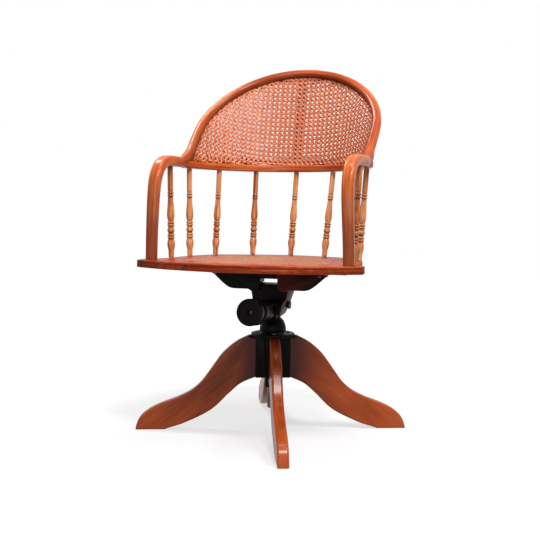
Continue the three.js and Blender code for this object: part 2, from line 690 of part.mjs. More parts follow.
function seatFrame() {
  const ear = SEAT_EAR - SEAT_FRONT;
  const front = [[SEAT_CORNER, ear], ...frontLine(SEAT_CORNER, 0), [-SEAT_CORNER, ear]];
  const edge = [...beside(seatBow, SEAT_MARGIN), ...front].reverse();
  const hole = openingSlab(0, seatBottom - OVERRUN, seatTop + OVERRUN);
  return solid(slab(outline(edge), seatBottom, seatTop)).subtract(hole);
}
const wholeFrame = seatFrame();
const keep = (x0, y0, x1, y1) => skin(wholeFrame.intersect(solid(block(x0, y0, 0, x1, y1, EXTENT))));
const half = GAP / 2;
add("seat_front_rail", keep(-EXTENT, -EXTENT, EXTENT, FRONT_RAIL_BACK - half), seatWood);
add("seat_left_rail", keep(-EXTENT, FRONT_RAIL_BACK + half, 0, BACK_RAIL_FRONT - half), seatWood);
add("seat_right_rail", keep(0, FRONT_RAIL_BACK + half, EXTENT, BACK_RAIL_FRONT - half), seatWood);
add("seat_back_rail", keep(-EXTENT, BACK_RAIL_FRONT + half, EXTENT, EXTENT), seatWood);

const caneTop = seatTop - CANE_DROP;
const splineInner = GAP + SPLINE_WIDTH;
const splineRing = openingSlab(GAP, caneTop - SPLINE_DEPTH, seatTop);
const insideSpline = openingSlab(splineInner, 0, seatTop + OVERRUN);
add("seat_spline", skin(splineRing.subtract(insideSpline)), seatCane);

// Whether a place on the seat is in the opening and clear of its edge by a rim
function onSeatCane(x, y, rim) {
  const back = Math.max(0, y - SEAT_BOW_START) / (caneDepth - rim);
  const inside = Math.hypot(x / (caneHalfBack - rim), back) < 1;
  return inside && y > frontEdge(x) + CANE_FRONT_INSET + rim;
}

// The corners of a square hole about a place in the weave
const cellCorners = (x, y) =>
  [[-1, -1], [1, -1], [1, 1], [-1, 1]].map(([i, j]) => [
    x + (i * CANE_HOLE) / 2,
    y + (j * CANE_HOLE) / 2,
  ]);
const cellSteps = Array.from({ length: CANE_COLUMNS }, (_, i) => (i + (1 - CANE_COLUMNS) / 2) * CANE_CELL);
const seatHoles = cellSteps
  .flatMap((x) => cellSteps.map((y) => cellCorners(x, SEAT_BOW_START + y)))
  .filter((corners) => corners.every(([x, y]) => onSeatCane(x, y, splineInner + CANE_RIM)))
  .map((corners) => solid(slab(outline(corners), seatBottom, seatTop)));
const seatSheet = openingSlab(splineInner + GAP, caneTop - CANE_THICK, caneTop);
add("seat_cane", skin(seatSheet.subtract(wasm.Manifold.union(seatHoles))), seatCane);

// Arms: each a bent post and arm in one, squared off where it meets the hoop
function armLine(side) {
  const foot = seatTop + GAP;
  const points = armShares.map(
    ([lean, run, rise]) =>
      new THREE.Vector3(
        side * (ARM_HALF - lean * ARM_LEAN),
        THREE.MathUtils.lerp(-POST_FRONT, ARM_END, run),
        THREE.MathUtils.lerp(foot, armLevel, rise),
      ),
  );
  return new THREE.CatmullRomCurve3(points, false, "centripetal");
}
function arm(side) {
  const section = roundedSection(ARM_WIDTH, ARM_DEPTH, ARM_ROUND);
  const settings = { steps: ARM_STEPS, curveSegments: 2, extrudePath: armLine(side), bevelEnabled: false };
  const bar = solid(new THREE.ExtrudeGeometry(section, settings));
  return skin(bar.intersect(solid(block(-EXTENT, -EXTENT, seatTop + GAP, EXTENT, ARM_END, EXTENT))));
}
add("arm_left", arm(-1), armWood);
add("arm_right", arm(1), armWood);

// Back rail: sawn to the curve of the spindle tops, from one arm's end to the other's
function backRail() {
  const outer = beside(railBow, RAIL_WIDTH / 2);
  const inner = beside(railBow, -RAIL_WIDTH / 2).reverse();
  const crescent = solid(slab(outline([...outer, ...inner].reverse()), railUnder, railUnder + RAIL_THICK));
  return skin(crescent.intersect(solid(block(-EXTENT, ARM_END + GAP, 0, EXTENT, EXTENT, EXTENT))));
}
add("back_rail", backRail(), armWood);

// Turned spindles, evenly spaced round the bow and splayed out to the rail
function spindle(length) {
  const profile = spindleShares.map(([along, girth]) => [girth * SPINDLE_RADIUS, along * length]);
  const points = [[0, 0], ...profile, [0, length]].map(([r, z]) => new THREE.Vector2(r, z));
  return new THREE.LatheGeometry(points, SPINDLE_SIDES);
}
const upright = new THREE.Vector3(0, 1, 0);
const footGirth = spindleShares[0][1] * SPINDLE_RADIUS;
for (let i = 0; i < SPINDLE_COUNT; i++) {
  const foot = seatBow.getPointAt(i / (SPINDLE_COUNT - 1)).setZ(seatTop + GAP);
  const head = railBow.getPointAt(i / (SPINDLE_COUNT - 1)).setZ(railUnder - GAP);
  const splay = Math.hypot(head.x - foot.x, head.y - foot.y) / (head.z - foot.z);
  foot.z += splay * footGirth; // a splayed end lifts one side of its turning
  head.z -= splay * footGirth;
  const line = head.clone().sub(foot);
  const mesh = add(`spindle_${i + 1}`, spindle(line.length()), spindleWood);
  mesh.position.copy(foot);
  mesh.quaternion.setFromUnitVectors(upright, line.normalize());
}

// Hoop: bent flat in its own plane, then leaned back, with its feet cut level on the rail
class HoopLine extends THREE.Curve {
  // inset draws the line in from the middle of the bar; start is where its feet begin
  constructor(inset, start) {
    super();
    Object.assign(this, { inset, start });
    this.run = HOOP_LEG - start;
    this.legPart = this.run / (2 * this.run + Math.PI * HOOP_RISE);
  }
  getPoint(t, target = new THREE.Vector3()) {
    const half = hoopHalf - this.inset;
    if (t > this.legPart && t < 1 - this.legPart) {
      const angle = (Math.PI * (t - this.legPart)) / (1 - 2 * this.legPart);
      const rise = (HOOP_RISE - this.inset) * Math.sin(angle);
      return target.set(-half * Math.cos(angle), HOOP_LEG + rise, 0);
    }
    const side = t < 1 / 2 ? -1 : 1;
    const share = Math.min(t, 1 - t) / this.legPart;
    const ease = Math.sin((share * Math.PI) / 2);
    const across = THREE.MathUtils.lerp(hoopFootHalf - this.inset, half, ease);
    return target.set(side * across, this.start + share * this.run, 0);
  }
}
const hoopPlace = new THREE.Matrix4()
  .makeTranslation(0, HOOP_FOOT_BACK, railTop + HOOP_FOOT_RISE)
  .multiply(new THREE.Matrix4().makeRotationX(Math.PI / 2 - HOOP_LEAN));

// The bent hoop bar, grown by a clearance where it cuts another piece
function hoopBar(clearance) {
  const thick = HOOP_THICK + 2 * clearance;
  const geometry = new THREE.ExtrudeGeometry(roundedSection(thick, thick, HOOP_ROUND), {
    steps: HOOP_STEPS,
    curveSegments: 2,
    extrudePath: new HoopLine(0, -OVERRUN),
    bevelEnabled: false,
  });
  return solid(geometry.applyMatrix4(hoopPlace));
}

function hoop() {
  return skin(
    hoopBar(0)
      .intersect(solid(block(-EXTENT, -EXTENT, railTop + GAP, EXTENT, EXTENT, EXTENT)))
      .subtract(solid(block(-EXTENT, -EXTENT, 0, EXTENT, ARM_END + GAP, EXTENT))),
  );
}
add("hoop", hoop(), armWood);

// The back's cane: a sheet ruled from the rail up to the inside of the hoop
const caneLine = new HoopLine(BACK_CANE_EDGE, BACK_CANE_START);
const caneHalf = hoopHalf - BACK_CANE_EDGE;
const railPoints = railBow.getSpacedPoints(RAIL_SAMPLES).filter((p) => p.y > ARM_END);
function railBack(x) {
  const after = Math.max(1, railPoints.findIndex((p) => p.x >= x));
  const a = railPoints[after - 1];
  const b = railPoints[after];
  return THREE.MathUtils.mapLinear(x, a.x, b.x, a.y, b.y);
}

// A point of the back: along the hoop from 0 to 1, and up from the rail by a share
function backPoint(along, up) {
  const head = caneLine.getPoint(along);
  const toFoot = Math.max(0, 1 - Math.min(along, 1 - along) / caneLine.legPart);
  const across = THREE.MathUtils.lerp(caneTuckShare, 1, toFoot);
  const x = (across * head.x * backCaneFoot) / caneHalf;
  return new THREE.Vector3(x, railBack(x), railTop + GAP).lerp(head.applyMatrix4(hoopPlace), up);
}

// The way out of the back's rear face at such a point
function backNormal(along, up) {
  const step = 1 / RAIL_SAMPLES;
  const within = (value) => THREE.MathUtils.clamp(value, 0, 1);
  const across = backPoint(within(along + step), up).sub(backPoint(within(along - step), up));
  const rise = backPoint(along, within(up + step)).sub(backPoint(along, within(up - step)));
  return rise.cross(across).normalize();
}

// A sheet over part of the back, its front face set behind the middle of the cane by an offset
function backSheet(from, to, offset, thick, columns) {
  const sheet = new THREE.BoxGeometry(1, 1, 1, columns, 1, SHEET_ROWS);
  const at = sheet.attributes.position;
  for (let i = 0; i < at.count; i++) {
    const along = THREE.MathUtils.lerp(from, to, at.getX(i) + 1 / 2);
    const up = at.getZ(i) + 1 / 2;
    const behind = offset + (at.getY(i) + 1 / 2) * thick;
    const point = backPoint(along, up).addScaledVector(backNormal(along, up), behind);
    at.setXYZ(i, point.x, point.y, Math.max(point.z, railTop + GAP));
  }
  return solid(sheet).subtract(hoopBar(GAP));
}
const caneFace = -BACK_CANE_THICK / 2;
const backColumns = Array.from({ length: RAIL_SAMPLES + 1 }, (_, i) => {
  const foot = backPoint(i / RAIL_SAMPLES, 0);
  return { x: foot.x, tall: foot.distanceTo(backPoint(i / RAIL_SAMPLES, 1)) };
});

// A place on the back, from its distance across the foot of the cane and its distance up
function backPlace([x, high]) {
  const after = Math.max(1, backColumns.findIndex((column) => column.x >= x));
  const [a, b] = [backColumns[after - 1], backColumns[after]];
  const part = (x - a.x) / (b.x - a.x);
  const tall = THREE.MathUtils.lerp(a.tall, b.tall, part);
  return { along: (after - 1 + part) / RAIL_SAMPLES, up: high / tall, over: tall - high, high };
}

// One hole right through the back's cane
function backHole(corners) {
  const points = corners.flatMap(({ along, up }) =>
    [-1, 1].map((side) =>
      backPoint(along, up).addScaledVector(backNormal(along, up), side * OVERRUN / 2).toArray(),
    ),
  );
  return wasm.Manifold.hull(points);
}
const backHoles = cellSteps
  .flatMap((x) => cellSteps.map((step) => cellCorners(x, step - cellSteps[0] + CANE_CELL / 2)))
  .filter((corners) => corners.every(([x]) => Math.abs(x) < backCaneFoot - CANE_RIM))
  .map((corners) => corners.map(backPlace))
  .filter((corners) => corners.every(({ over, high }) => Math.min(over, high) > CANE_RIM))
  .map(backHole);
const backWeave = backSheet(0, 1, caneFace, BACK_CANE_THICK, SHEET_COLUMNS);
add("back_cane", skin(backWeave.subtract(wasm.Manifold.union(backHoles))), backCane);
const slatPart = SLAT_WIDTH / (2 * Math.PI * caneHalf);
const slatReach = slatPart * (1 - 2 * caneLine.legPart);
const slatFace = BACK_CANE_THICK / 2 + GAP;
const slat = backSheet(1 / 2 - slatReach, 1 / 2 + slatReach, slatFace, SLAT_THICK, SLAT_COLUMNS);
add("back_slat", skin(slat), armWood);

export default chair;
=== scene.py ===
# A bankers swivel chair. Four sawn legs meet in an iron hub, a screw spindle carries a swivel head
# and a sprung tilt, and on those irons sits a caned seat with bentwood arms, turned spindles and a
# leaning caned hoop. Sizes are metres, +Z up, and the sitter faces -Y.
import math

import bmesh
import bpy
import numpy as np
from mathutils import Matrix, Vector


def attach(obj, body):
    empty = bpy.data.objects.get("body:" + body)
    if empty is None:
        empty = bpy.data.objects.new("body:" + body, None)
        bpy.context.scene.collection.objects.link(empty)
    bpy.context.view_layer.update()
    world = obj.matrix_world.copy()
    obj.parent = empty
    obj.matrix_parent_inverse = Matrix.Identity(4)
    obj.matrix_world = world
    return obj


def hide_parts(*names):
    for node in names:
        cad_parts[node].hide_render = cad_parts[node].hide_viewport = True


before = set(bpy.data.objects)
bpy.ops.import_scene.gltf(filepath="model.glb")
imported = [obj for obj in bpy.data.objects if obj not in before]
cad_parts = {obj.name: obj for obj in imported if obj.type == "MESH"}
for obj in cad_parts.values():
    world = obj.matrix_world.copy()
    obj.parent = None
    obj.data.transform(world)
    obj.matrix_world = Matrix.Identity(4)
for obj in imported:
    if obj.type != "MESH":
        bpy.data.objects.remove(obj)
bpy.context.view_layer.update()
scene = bpy.context.scene
scene.view_settings.view_transform = "Standard"

# The camera: a 55 mm lens at seat-back height, 2 m in front of the chair and a little to its
# left-hand side, turned a few degrees down and rolled by less than a degree.
aim_down, aim_side, roll, orbit = 0.070, -0.0044, 0.0136, 0.29
distance, eye_height, sensor, focal_pixels, picture_pixels = 2.05, 0.539, 36, 833, 540
ahead = Vector((
    math.sin(aim_side) * math.cos(aim_down), math.cos(aim_side) * math.cos(aim_down), -math.sin(aim_down),
))
beside = Vector((math.cos(aim_side), -math.sin(aim_side), 0))
above = beside.cross(ahead)
beside, above = (
    beside * math.cos(roll) + above * math.sin(roll), above * math.cos(roll) - beside * math.sin(roll),
)
lens = bpy.data.cameras.new("camera")
lens.sensor_width = sensor
lens.lens = focal_pixels / picture_pixels * sensor
camera = bpy.data.objects.new("camera", lens)
eye = Matrix.Translation((0, -distance, eye_height))
axes = Matrix((beside, above, -ahead)).transposed().to_4x4()
camera.matrix_world = Matrix.Rotation(orbit, 4, "Z") @ eye @ axes
scene.collection.objects.link(camera)
scene.camera = camera

# The studio: a white room with soft lamps overhead, high in front and at both sides, and one low in
# front, over a plain white floor that keeps the chair's shadow and brightens away from it.


class Field:
    """A number that changes over a surface or along a shape, for use in plain sums."""

    def __init__(self, tree, socket):
        self.tree, self.socket = tree, socket

    def maths(self, operation, *values, clamp=False):
        settings = {"operation": operation, "use_clamp": clamp}
        return self.tree.field("ShaderNodeMath", settings, dict(enumerate(values)))

    def __add__(self, other):
        return self.maths("ADD", self, other)

    def __radd__(self, other):
        return self.maths("ADD", other, self)

    def __sub__(self, other):
        return self.maths("SUBTRACT", self, other)

    def __mul__(self, other):
        return self.maths("MULTIPLY", self, other)

    def sine(self):
        return self.maths("SINE", self)

    def over(self, low, high):
        """0 below one value and 1 above the other, with an even slope between."""
        values = {"Value": self, "From Min": low, "From Max": high}
        return self.tree.field("ShaderNodeMapRange", {}, values)


class Tree:
    """A node tree, each of whose nodes is made in one call."""

    def __init__(self, tree):
        self.tree = tree

    def node(self, kind, settings=(), values=()):
        node = self.tree.nodes.new(kind)
        for name, value in dict(settings).items():
            setattr(node, name, value)
        return self.feed(node, values)

    def feed(self, node, values):
        """Links what comes from other nodes to a node's inputs, and sets the rest on them."""
        for name, value in dict(values).items():
            value = value.socket if isinstance(value, Field) else value
            if isinstance(value, bpy.types.NodeSocket):
                self.tree.links.new(value, node.inputs[name])
            else:
                node.inputs[name].default_value = value
        return node

    def out(self, kind, settings=(), values=(), output=0):
        """A new node's output, as a socket to link from."""
        return self.node(kind, settings, values).outputs[output]

    def field(self, kind, settings=(), values=(), output=0):
        """A new node's output, for use in sums."""
        return Field(self, self.out(kind, settings, values, output))

    def blend(self, share, first, second):
        """The colour between two colours."""
        return self.out("ShaderNodeMix", {"data_type": "RGBA"}, {0: share, 6: first, 7: second}, 2)

    def read(self, name, kind="FLOAT_VECTOR"):
        """What a geometry tree finds written on a shape under a name."""
        return self.out("GeometryNodeInputNamedAttribute", {"data_type": kind}, {"Name": name})

    def store(self, shape, name, value, kind="FLOAT_VECTOR", domain="POINT"):
        """A geometry tree's shape with a value written on it under a name."""
        values = {"Geometry": shape, "Name": name, "Value": value}
        return self.out("GeometryNodeStoreNamedAttribute", {"data_type": kind, "domain": domain}, values)


def backdrop_ray(tree):
    """1 for the rays that see the background itself: from the camera, a gloss or a glass."""
    rays = tree.node("ShaderNodeLightPath")
    seen = Field(tree, rays.outputs["Is Camera Ray"]) + Field(tree, rays.outputs["Is Glossy Ray"])
    return seen.maths("ADD", seen, rays.outputs["Is Transmission Ray"], clamp=True)


world = bpy.data.worlds.new("studio")
world.use_nodes = True
world.node_tree.nodes.clear()
tree = Tree(world.node_tree)
white, room_light, wall_light = (1, 1, 1, 1), 0.2, 1.0
room = tree.out("ShaderNodeBackground", {}, {"Color": white, "Strength": room_light})
wall = tree.out("ShaderNodeBackground", {}, {"Color": white, "Strength": wall_light})
both = tree.out("ShaderNodeMixShader", {}, {0: backdrop_ray(tree), 1: room, 2: wall})
tree.node("ShaderNodeOutputWorld", {}, {"Surface": both})
scene.world = world

lit_middle = Vector((0, 0, 0.5))
lamps = {  # where each stands, how wide it is and its power
    "top_lamp": ((0.15, -0.2, 2.3), 0.45, 10),
    "key_lamp": ((0.75, -1.3, 2.3), 0.5, 38),
    "right_lamp": ((1.15, -0.45, 2.0), 0.55, 20),
    "left_lamp": ((-0.95, 0.5, 2.3), 0.6, 22),
    "low_lamp": ((0.3, -2.7, 0.8), 1.0, 14),
}
for name, (spot, width, power) in lamps.items():
    lamp = bpy.data.lights.new(name, "AREA")
    lamp.shape, lamp.size, lamp.energy = "DISK", width, power
    stand = bpy.data.objects.new(name, lamp)
    stand.location = spot
    stand.rotation_euler = (lit_middle - Vector(spot)).to_track_quat("-Z", "Y").to_euler()
    scene.collection.objects.link(stand)

paper = bpy.data.materials.new("white_floor")
paper.use_nodes = True
paper.node_tree.nodes.clear()
tree = Tree(paper.node_tree)
near, far, glow_near, glow_more, floor_half, floor_level = 0.3, 1.8, 0.62, 0.34, 6, -0.0005
lit = tree.out("ShaderNodeBsdfDiffuse", {}, {"Color": (0.36, 0.36, 0.36, 1)})
place = tree.out("ShaderNodeTexCoord", output="Object")
away = tree.field("ShaderNodeVectorMath", {"operation": "LENGTH"}, {0: place}, "Value")
strength = backdrop_ray(tree) * (away.over(near, far) * glow_more + glow_near)
glow = tree.out("ShaderNodeEmission", {}, {"Color": white, "Strength": strength})
tree.node("ShaderNodeOutputMaterial", {}, {"Surface": tree.out("ShaderNodeAddShader", {}, {0: lit, 1: glow})})
floor_mesh = bpy.data.meshes.new("floor")
corners = [(x * floor_half, y * floor_half, floor_level) for x, y in ((-1, -1), (1, -1), (1, 1), (-1, 1))]
floor_mesh.from_pydata(corners, [], [(0, 1, 2, 3)])
floor_mesh.materials.append(paper)
floor = bpy.data.objects.new("floor", floor_mesh)
scene.collection.objects.link(floor)

# Legs: four S shapes sawn from 26 mm plank with the grain running down towards the foot, their
# arrises rounded over, stained red-brown and varnished. Painted shade darkens them against the hub.


def settle(piece):
    """Turns what a piece's modifiers make into its own plain mesh."""
    graph = bpy.context.evaluated_depsgraph_get()
    made = piece.evaluated_get(graph)
    mesh = bpy.data.meshes.new_from_object(made, preserve_all_data_layers=True, depsgraph=graph)
    for i in reversed(range(len(mesh.materials))):
        if mesh.materials[i] is None:
            mesh.materials.pop(index=i)
    piece.modifiers.clear()
    piece.data = mesh
    return mesh


def spots_of(mesh):
    """Where each point of a mesh lies."""
    spots = np.empty(len(mesh.vertices) * 3)
    mesh.vertices.foreach_get("co", spots)
    return spots.reshape(-1, 3)


def write(mesh, name, values):
    """Writes a number or a vector on each point of a mesh, such as its share of painted shade and rust, 0 to
    1.
    """
    values = np.asarray(values, float)
    kind, part = ("FLOAT", "value") if values.ndim == 1 else ("FLOAT_VECTOR", "vector")
    mesh.attributes.new(name, kind, "POINT").data.foreach_set(part, values.ravel())


def lay_grain(mesh, along, across, offset=0.0):
    """Writes where each point lies in its plank: along, across and through the grain, in metres."""
    along, across = Vector(along).normalized(), Vector(across).normalized()
    axes = np.array([along, across, along.cross(across)])
    write(mesh, "grain", spots_of(mesh) @ axes.T + offset)


def show(name, mesh, material=None):
    """Puts a mesh in the scene as a piece at the origin."""
    piece = bpy.data.objects.new(name, mesh)
    if material:
        mesh.materials.clear()
        mesh.materials.append(material)
    scene.collection.objects.link(piece)
    return piece


def fit(piece, body, slot, *nodes):
    """Hangs a piece on a body in place of the nodes that it stands for."""
    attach(piece, body)
    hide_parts(*nodes)


def bevel(piece, width, segments=3, angle=32):
    """Rounds a piece's sharp edges over."""
    step = piece.modifiers.new("arris", "BEVEL")
    step.width, step.segments, step.limit_method = width, segments, "ANGLE"
    step.angle_limit, step.use_clamp_overlap, step.harden_normals = math.radians(angle), False, True
    piece.data.shade_smooth()
    return settle(piece)


def rgb(red, green, blue):
    """A colour from its screen values, 0 to 255."""
    levels = (v / 255 for v in (red, green, blue))
    return (*(((v + 0.055) / 1.055) ** 2.4 if v > 0.0393 else v / 12.92 for v in levels), 1)


def new_material(name):
    """A new material, its tree and the shader in it."""
    material = bpy.data.materials.new(name)
    material.use_nodes = True
    return material, Tree(material.node_tree), material.node_tree.nodes["Principled BSDF"]


def wood(name, dark, plain, pale, gloss, figure=1.0, fine=1.0, coat=None, coat_rough=0.13, specular=0.04):
    """Stained and varnished wood, from the grain written on each piece, darker and rougher by the share of
    darkening written on it, most of which is painted shade.
    """
    material, tree, surface = new_material(name)
    dark, plain, pale = (rgb(*colour) for colour in (dark, plain, pale))
    grain = tree.out("ShaderNodeAttribute", {"attribute_name": "grain"}, (), "Vector")
    shade_and_rust = tree.field("ShaderNodeAttribute", {"attribute_name": "shade_and_rust"}, (), "Fac")

    def noise(along, across, detail, distortion=0.0):
        scale = {0: grain, 1: (along, across, across)}
        place = tree.out("ShaderNodeVectorMath", {"operation": "MULTIPLY"}, scale)
        values = {"Vector": place, "Scale": 1.0, "Detail": detail, "Roughness": 0.55}
        return tree.field("ShaderNodeTexNoise", {}, {**values, "Distortion": distortion})

    cloud = noise(5, 16, 2)
    rings = ((noise(2.6, 34, 2, 0.4) * 70).sine() * 0.5 + 0.5) * figure
    streak = noise(14, 620 * fine, 3)
    band = noise(6, 230, 2)
    pore = noise(90, 2300 * fine, 2).over(0.6, 0.72)
    tone = (cloud - 0.5) * 0.8 + (streak - 0.5) * 0.5 * fine
    tone = tone + (band - 0.5) * 1.1 * figure + (rings - 0.5) * 0.1 + 0.5
    colour = tree.blend(tone.over(0.15, 0.5), dark, plain)
    colour = tree.blend(tone.over(0.5, 0.95), colour, pale)
    colour = tree.blend(pore * 0.3, colour, dark)
    # deep is the colour of the painted shade, mixed in by the share of it written on each piece.
    deep = (dark[0] * 0.32, dark[1] * 0.16, dark[2] * 0.12, 1)
    dent = {"Strength": 0.25, "Distance": 0.00025, "Height": streak * 0.5 - pore}
    tree.feed(surface, {
        "Base Color": tree.blend(shade_and_rust, colour, deep),
        "Roughness": 0.52 - gloss * 0.22 + (streak - 0.5) * 0.16 + shade_and_rust * 0.12,
        "Normal": tree.out("ShaderNodeBump", {}, dent),
        "Coat Weight": gloss * 0.24 if coat is None else coat,
        "Coat Roughness": coat_rough,
        "Specular IOR Level": specular,
    })
    return material


def bent(points, steps, uniform=False):
    """Points of a smooth curve through others, so many to each span, or evenly if not uniform."""
    points = np.array(points, float)
    ends = (points[0], points[-1]) if uniform else (2 * points[0] - points[1], 2 * points[-1] - points[-2])
    row = np.vstack([ends[0], points, ends[1]])
    made = []
    for p0, p1, p2, p3 in zip(row, row[1:], row[2:], row[3:]):
        spans = ((p0, p1), (p1, p2), (p2, p3))
        d0, d1, d2 = (1, 1, 1) if uniform else (np.sqrt(np.linalg.norm(b - a)) for a, b in spans)
        t1 = ((p1 - p0) / d0 - (p2 - p0) / (d0 + d1) + (p2 - p1) / d1) * d1
        t2 = ((p2 - p1) / d1 - (p3 - p1) / (d1 + d2) + (p3 - p2) / d2) * d1
        t = np.linspace(0, 1, (steps if uniform else 40), endpoint=False)[:, None]
        made.append(p1 + t1 * t + (3 * (p2 - p1) - 2 * t1 - t2) * t**2 + (2 * (p1 - p2) + t1 + t2) * t**3)
    line = np.vstack([*made, points[-1:]])
    return line if uniform else even(line, steps)


def run_of(line):
    """How far along a line each of its points lies."""
    return np.concatenate([[0], np.cumsum(np.linalg.norm(np.diff(line, axis=0), axis=1))])


def even(line, steps):
    """The same line with evenly spaced points."""
    run = run_of(line)
    at = np.linspace(0, run[-1], steps + 1)
    return np.stack([np.interp(at, run, line[:, i]) for i in range(line.shape[1])], 1)


leg_reach, heel_reach, leg_height, leg_thick, leg_arris = 0.337, 0.265, 0.24, 0.026, 0.005
base_turn, hub_bottom, socket_radius, cap_radius = math.radians(21.1), 0.13, 0.019, 0.054
hair, quarter = 0.0003, math.pi / 2  # the gap left between two fitted pieces, and a quarter turn
leg_top = [
    (0.163, 0.985), (0.25, 0.925), (0.31, 0.865), (0.37, 0.785), (0.42, 0.69), (0.465, 0.6),
    (0.52, 0.497), (0.59, 0.408), (0.69, 0.335), (0.8, 0.277), (0.878, 0.226), (0.93, 0.178),
    (0.965, 0.128), (0.988, 0.066), (1, 0),
]
leg_under = [(1, 0), (0.95, 0.02), (0.815, 0.068), (0.575, 0.2), (0.41, 0.37), (0.3, 0.475), (0.18, 0.535)]
top_line = bent([(x * leg_reach, z * leg_height) for x, z in leg_top], 6, True)
under_line = bent([(x * heel_reach, z * leg_height) for x, z in leg_under], 6, True)
under_line[:, 1] = np.maximum(under_line[:, 1], 0)
leg_ceiling = leg_height - 0.009
leg_outline = [
    (socket_radius + hair, leg_ceiling), (cap_radius + hair, leg_ceiling),
    *top_line, *under_line, (0.043, hub_bottom), (socket_radius + hair, hub_bottom),
]
leg_wood = wood(
    "stained_leg", (108, 38, 12), (170, 74, 30), (198, 104, 50), 0.8, 0.4, coat=0.3, coat_rough=0.2,
)
down_leg, out_of_leg, shade_reach, shade_fade = (0.81, 0, -0.59), (0.59, 0, 0.81), 0.108, 0.05
for i in range(4):
    shape = bmesh.new()
    sides = [[shape.verts.new((x, s * leg_thick / 2, z)) for x, z in leg_outline] for s in (-1, 1)]
    shape.faces.new(sides[0])
    shape.faces.new(sides[1][::-1])
    for j in range(len(leg_outline)):
        k = (j + 1) % len(leg_outline)
        shape.faces.new((sides[0][k], sides[0][j], sides[1][j], sides[1][k]))
    bmesh.ops.recalc_face_normals(shape, faces=shape.faces)
    mesh = bpy.data.meshes.new(f"sawn_leg_{i + 1}")
    shape.to_mesh(mesh)
    leg = show(f"sawn_leg_{i + 1}", mesh, leg_wood)
    mesh = bevel(leg, leg_arris, 4)
    lay_grain(mesh, down_leg, out_of_leg, 0.37 * i)
    # Painted shade: each leg darkens towards the hub, under the seat.
    write(mesh, "shade_and_rust", 0.95 * np.clip((shade_reach - spots_of(mesh)[:, 0]) / shade_fade, 0, 1))
    mesh.transform(Matrix.Rotation(base_turn + i * quarter, 4, "Z"))
    fit(leg, "base", "leg_wood", f"leg_{i + 1}")

# Hub: four cast angles between the legs, a threaded socket below and a round cap plate on top,
# all black japanned iron, with four dull pan-headed screws through the cap.


def smooth(mesh, angle=35):
    """Rounds the shading except over edges sharper than an angle in degrees."""
    mesh.shade_smooth()
    mesh.set_sharp_from_angle(angle=math.radians(angle))


def dressed(name, node, material, width, body, slot, segments=2):
    """A copy of a node with clean faces and rounded edges, in its place."""
    source = bpy.data.objects[node]
    mesh = source.data.copy()
    mesh.transform(source.matrix_world)
    shape = bmesh.new()
    shape.from_mesh(mesh)
    bmesh.ops.remove_doubles(shape, verts=shape.verts, dist=1e-5)
    bmesh.ops.dissolve_limit(shape, angle_limit=math.radians(0.6), verts=shape.verts, edges=shape.edges)
    shape.to_mesh(mesh)
    shape.free()
    piece = show(name, mesh, material)
    bevel(piece, width, segments)
    fit(piece, body, slot, node)
    return piece


def iron(name, colour, dust, rough, grit, shine=0.05, metal=0.0):
    """Cast or forged iron: a fine gritty skin with dust in patches, rust-red where marked, which is partly
    rust and partly a painted reflection of the red wood.
    """
    material, tree, surface = new_material(name)
    place = tree.out("ShaderNodeTexCoord", output="Object")

    def noise(scale, detail):
        return tree.field("ShaderNodeTexNoise", {}, {"Vector": place, "Scale": scale, "Detail": detail})

    patch, skin = noise(28, 4), noise(grit, 3)
    tone = tree.blend((patch.over(0.42, 0.7) + skin.over(0.5, 0.8) * 0.4) * 0.7, rgb(*colour), rgb(*dust))
    # Rust-red where marked: partly rust, partly a painted reflection of the red wood.
    rust_and_reflection = tree.field("ShaderNodeAttribute", {"attribute_name": "shade_and_rust"}, (), "Fac") * (patch * 0.8 + 0.5)
    dent = {"Strength": 0.35, "Distance": 0.0004, "Height": skin + patch * 0.6}
    tree.feed(surface, {
        "Base Color": tree.blend(rust_and_reflection, tone, rgb(84, 34, 26)),
        "Roughness": patch * 0.2 + skin * 0.15 + (rough - 0.17),
        "Normal": tree.out("ShaderNodeBump", {}, dent),
        "Metallic": metal,
        "Specular IOR Level": shine,
    })
    return material


black_iron = iron("japanned_iron", (7, 6, 6), (20, 13, 11), 0.4, 420)
steel = iron("dull_steel", (96, 92, 88), (62, 50, 42), 0.42, 900, 0.5, 0.85)
for i in range(4):
    dressed(f"cast_angle_{i + 1}", f"hub_angle_{i + 1}", black_iron, 0.0012, "base", "black_iron")
dressed("threaded_socket", "hub_socket", black_iron, 0.001, "base", "black_iron")
dressed("round_cap", "cap_plate", black_iron, 0.0012, "base", "black_iron")


def lofted(loops, ring=False):
    """A skin over loops of points, closed at both ends, or joined last to first as a ring."""
    count = len(loops[0])
    points = np.vstack(loops)
    faces = []
    for row in range(len(loops) - (0 if ring else 1)):
        near, far = row * count, (row + 1) % len(loops) * count
        faces += [(near + j, near + (j + 1) % count, far + (j + 1) % count, far + j) for j in range(count)]
    if not ring:
        last = len(points)
        points = np.vstack([points, loops[0].mean(0), loops[-1].mean(0)])
        base = last - count
        faces += [(last, (j + 1) % count, j) for j in range(count)]
        faces += [(last + 1, base + j, base + (j + 1) % count) for j in range(count)]
    mesh = bpy.data.meshes.new("loft")
    mesh.from_pydata(points.tolist(), [], faces)
    shape = bmesh.new()
    shape.from_mesh(mesh)
    bmesh.ops.recalc_face_normals(shape, faces=shape.faces)
    shape.to_mesh(mesh)
    shape.free()
    return mesh


def at_height(plan, height):
    """Plan points set at one height."""
    return np.column_stack([plan, np.full(len(plan), height)])


def circle(radius, height, sides=40):
    """A level loop of points about the Z axis."""
    angle = np.arange(sides) * 2 * math.pi / sides
    return at_height(np.stack([radius * np.cos(angle), radius * np.sin(angle)], 1), height)


def grown(piece, group, values):
    """Sets a tree's inputs on a piece by their identifiers, and keeps the mesh that it makes."""
    step = piece.modifiers.new("shape", "NODES")
    step.node_group = group
    for item in group.interface.items_tree:
        if item.in_out == "INPUT" and item.name in values:
            step[item.identifier] = values[item.name]
    return settle(piece)


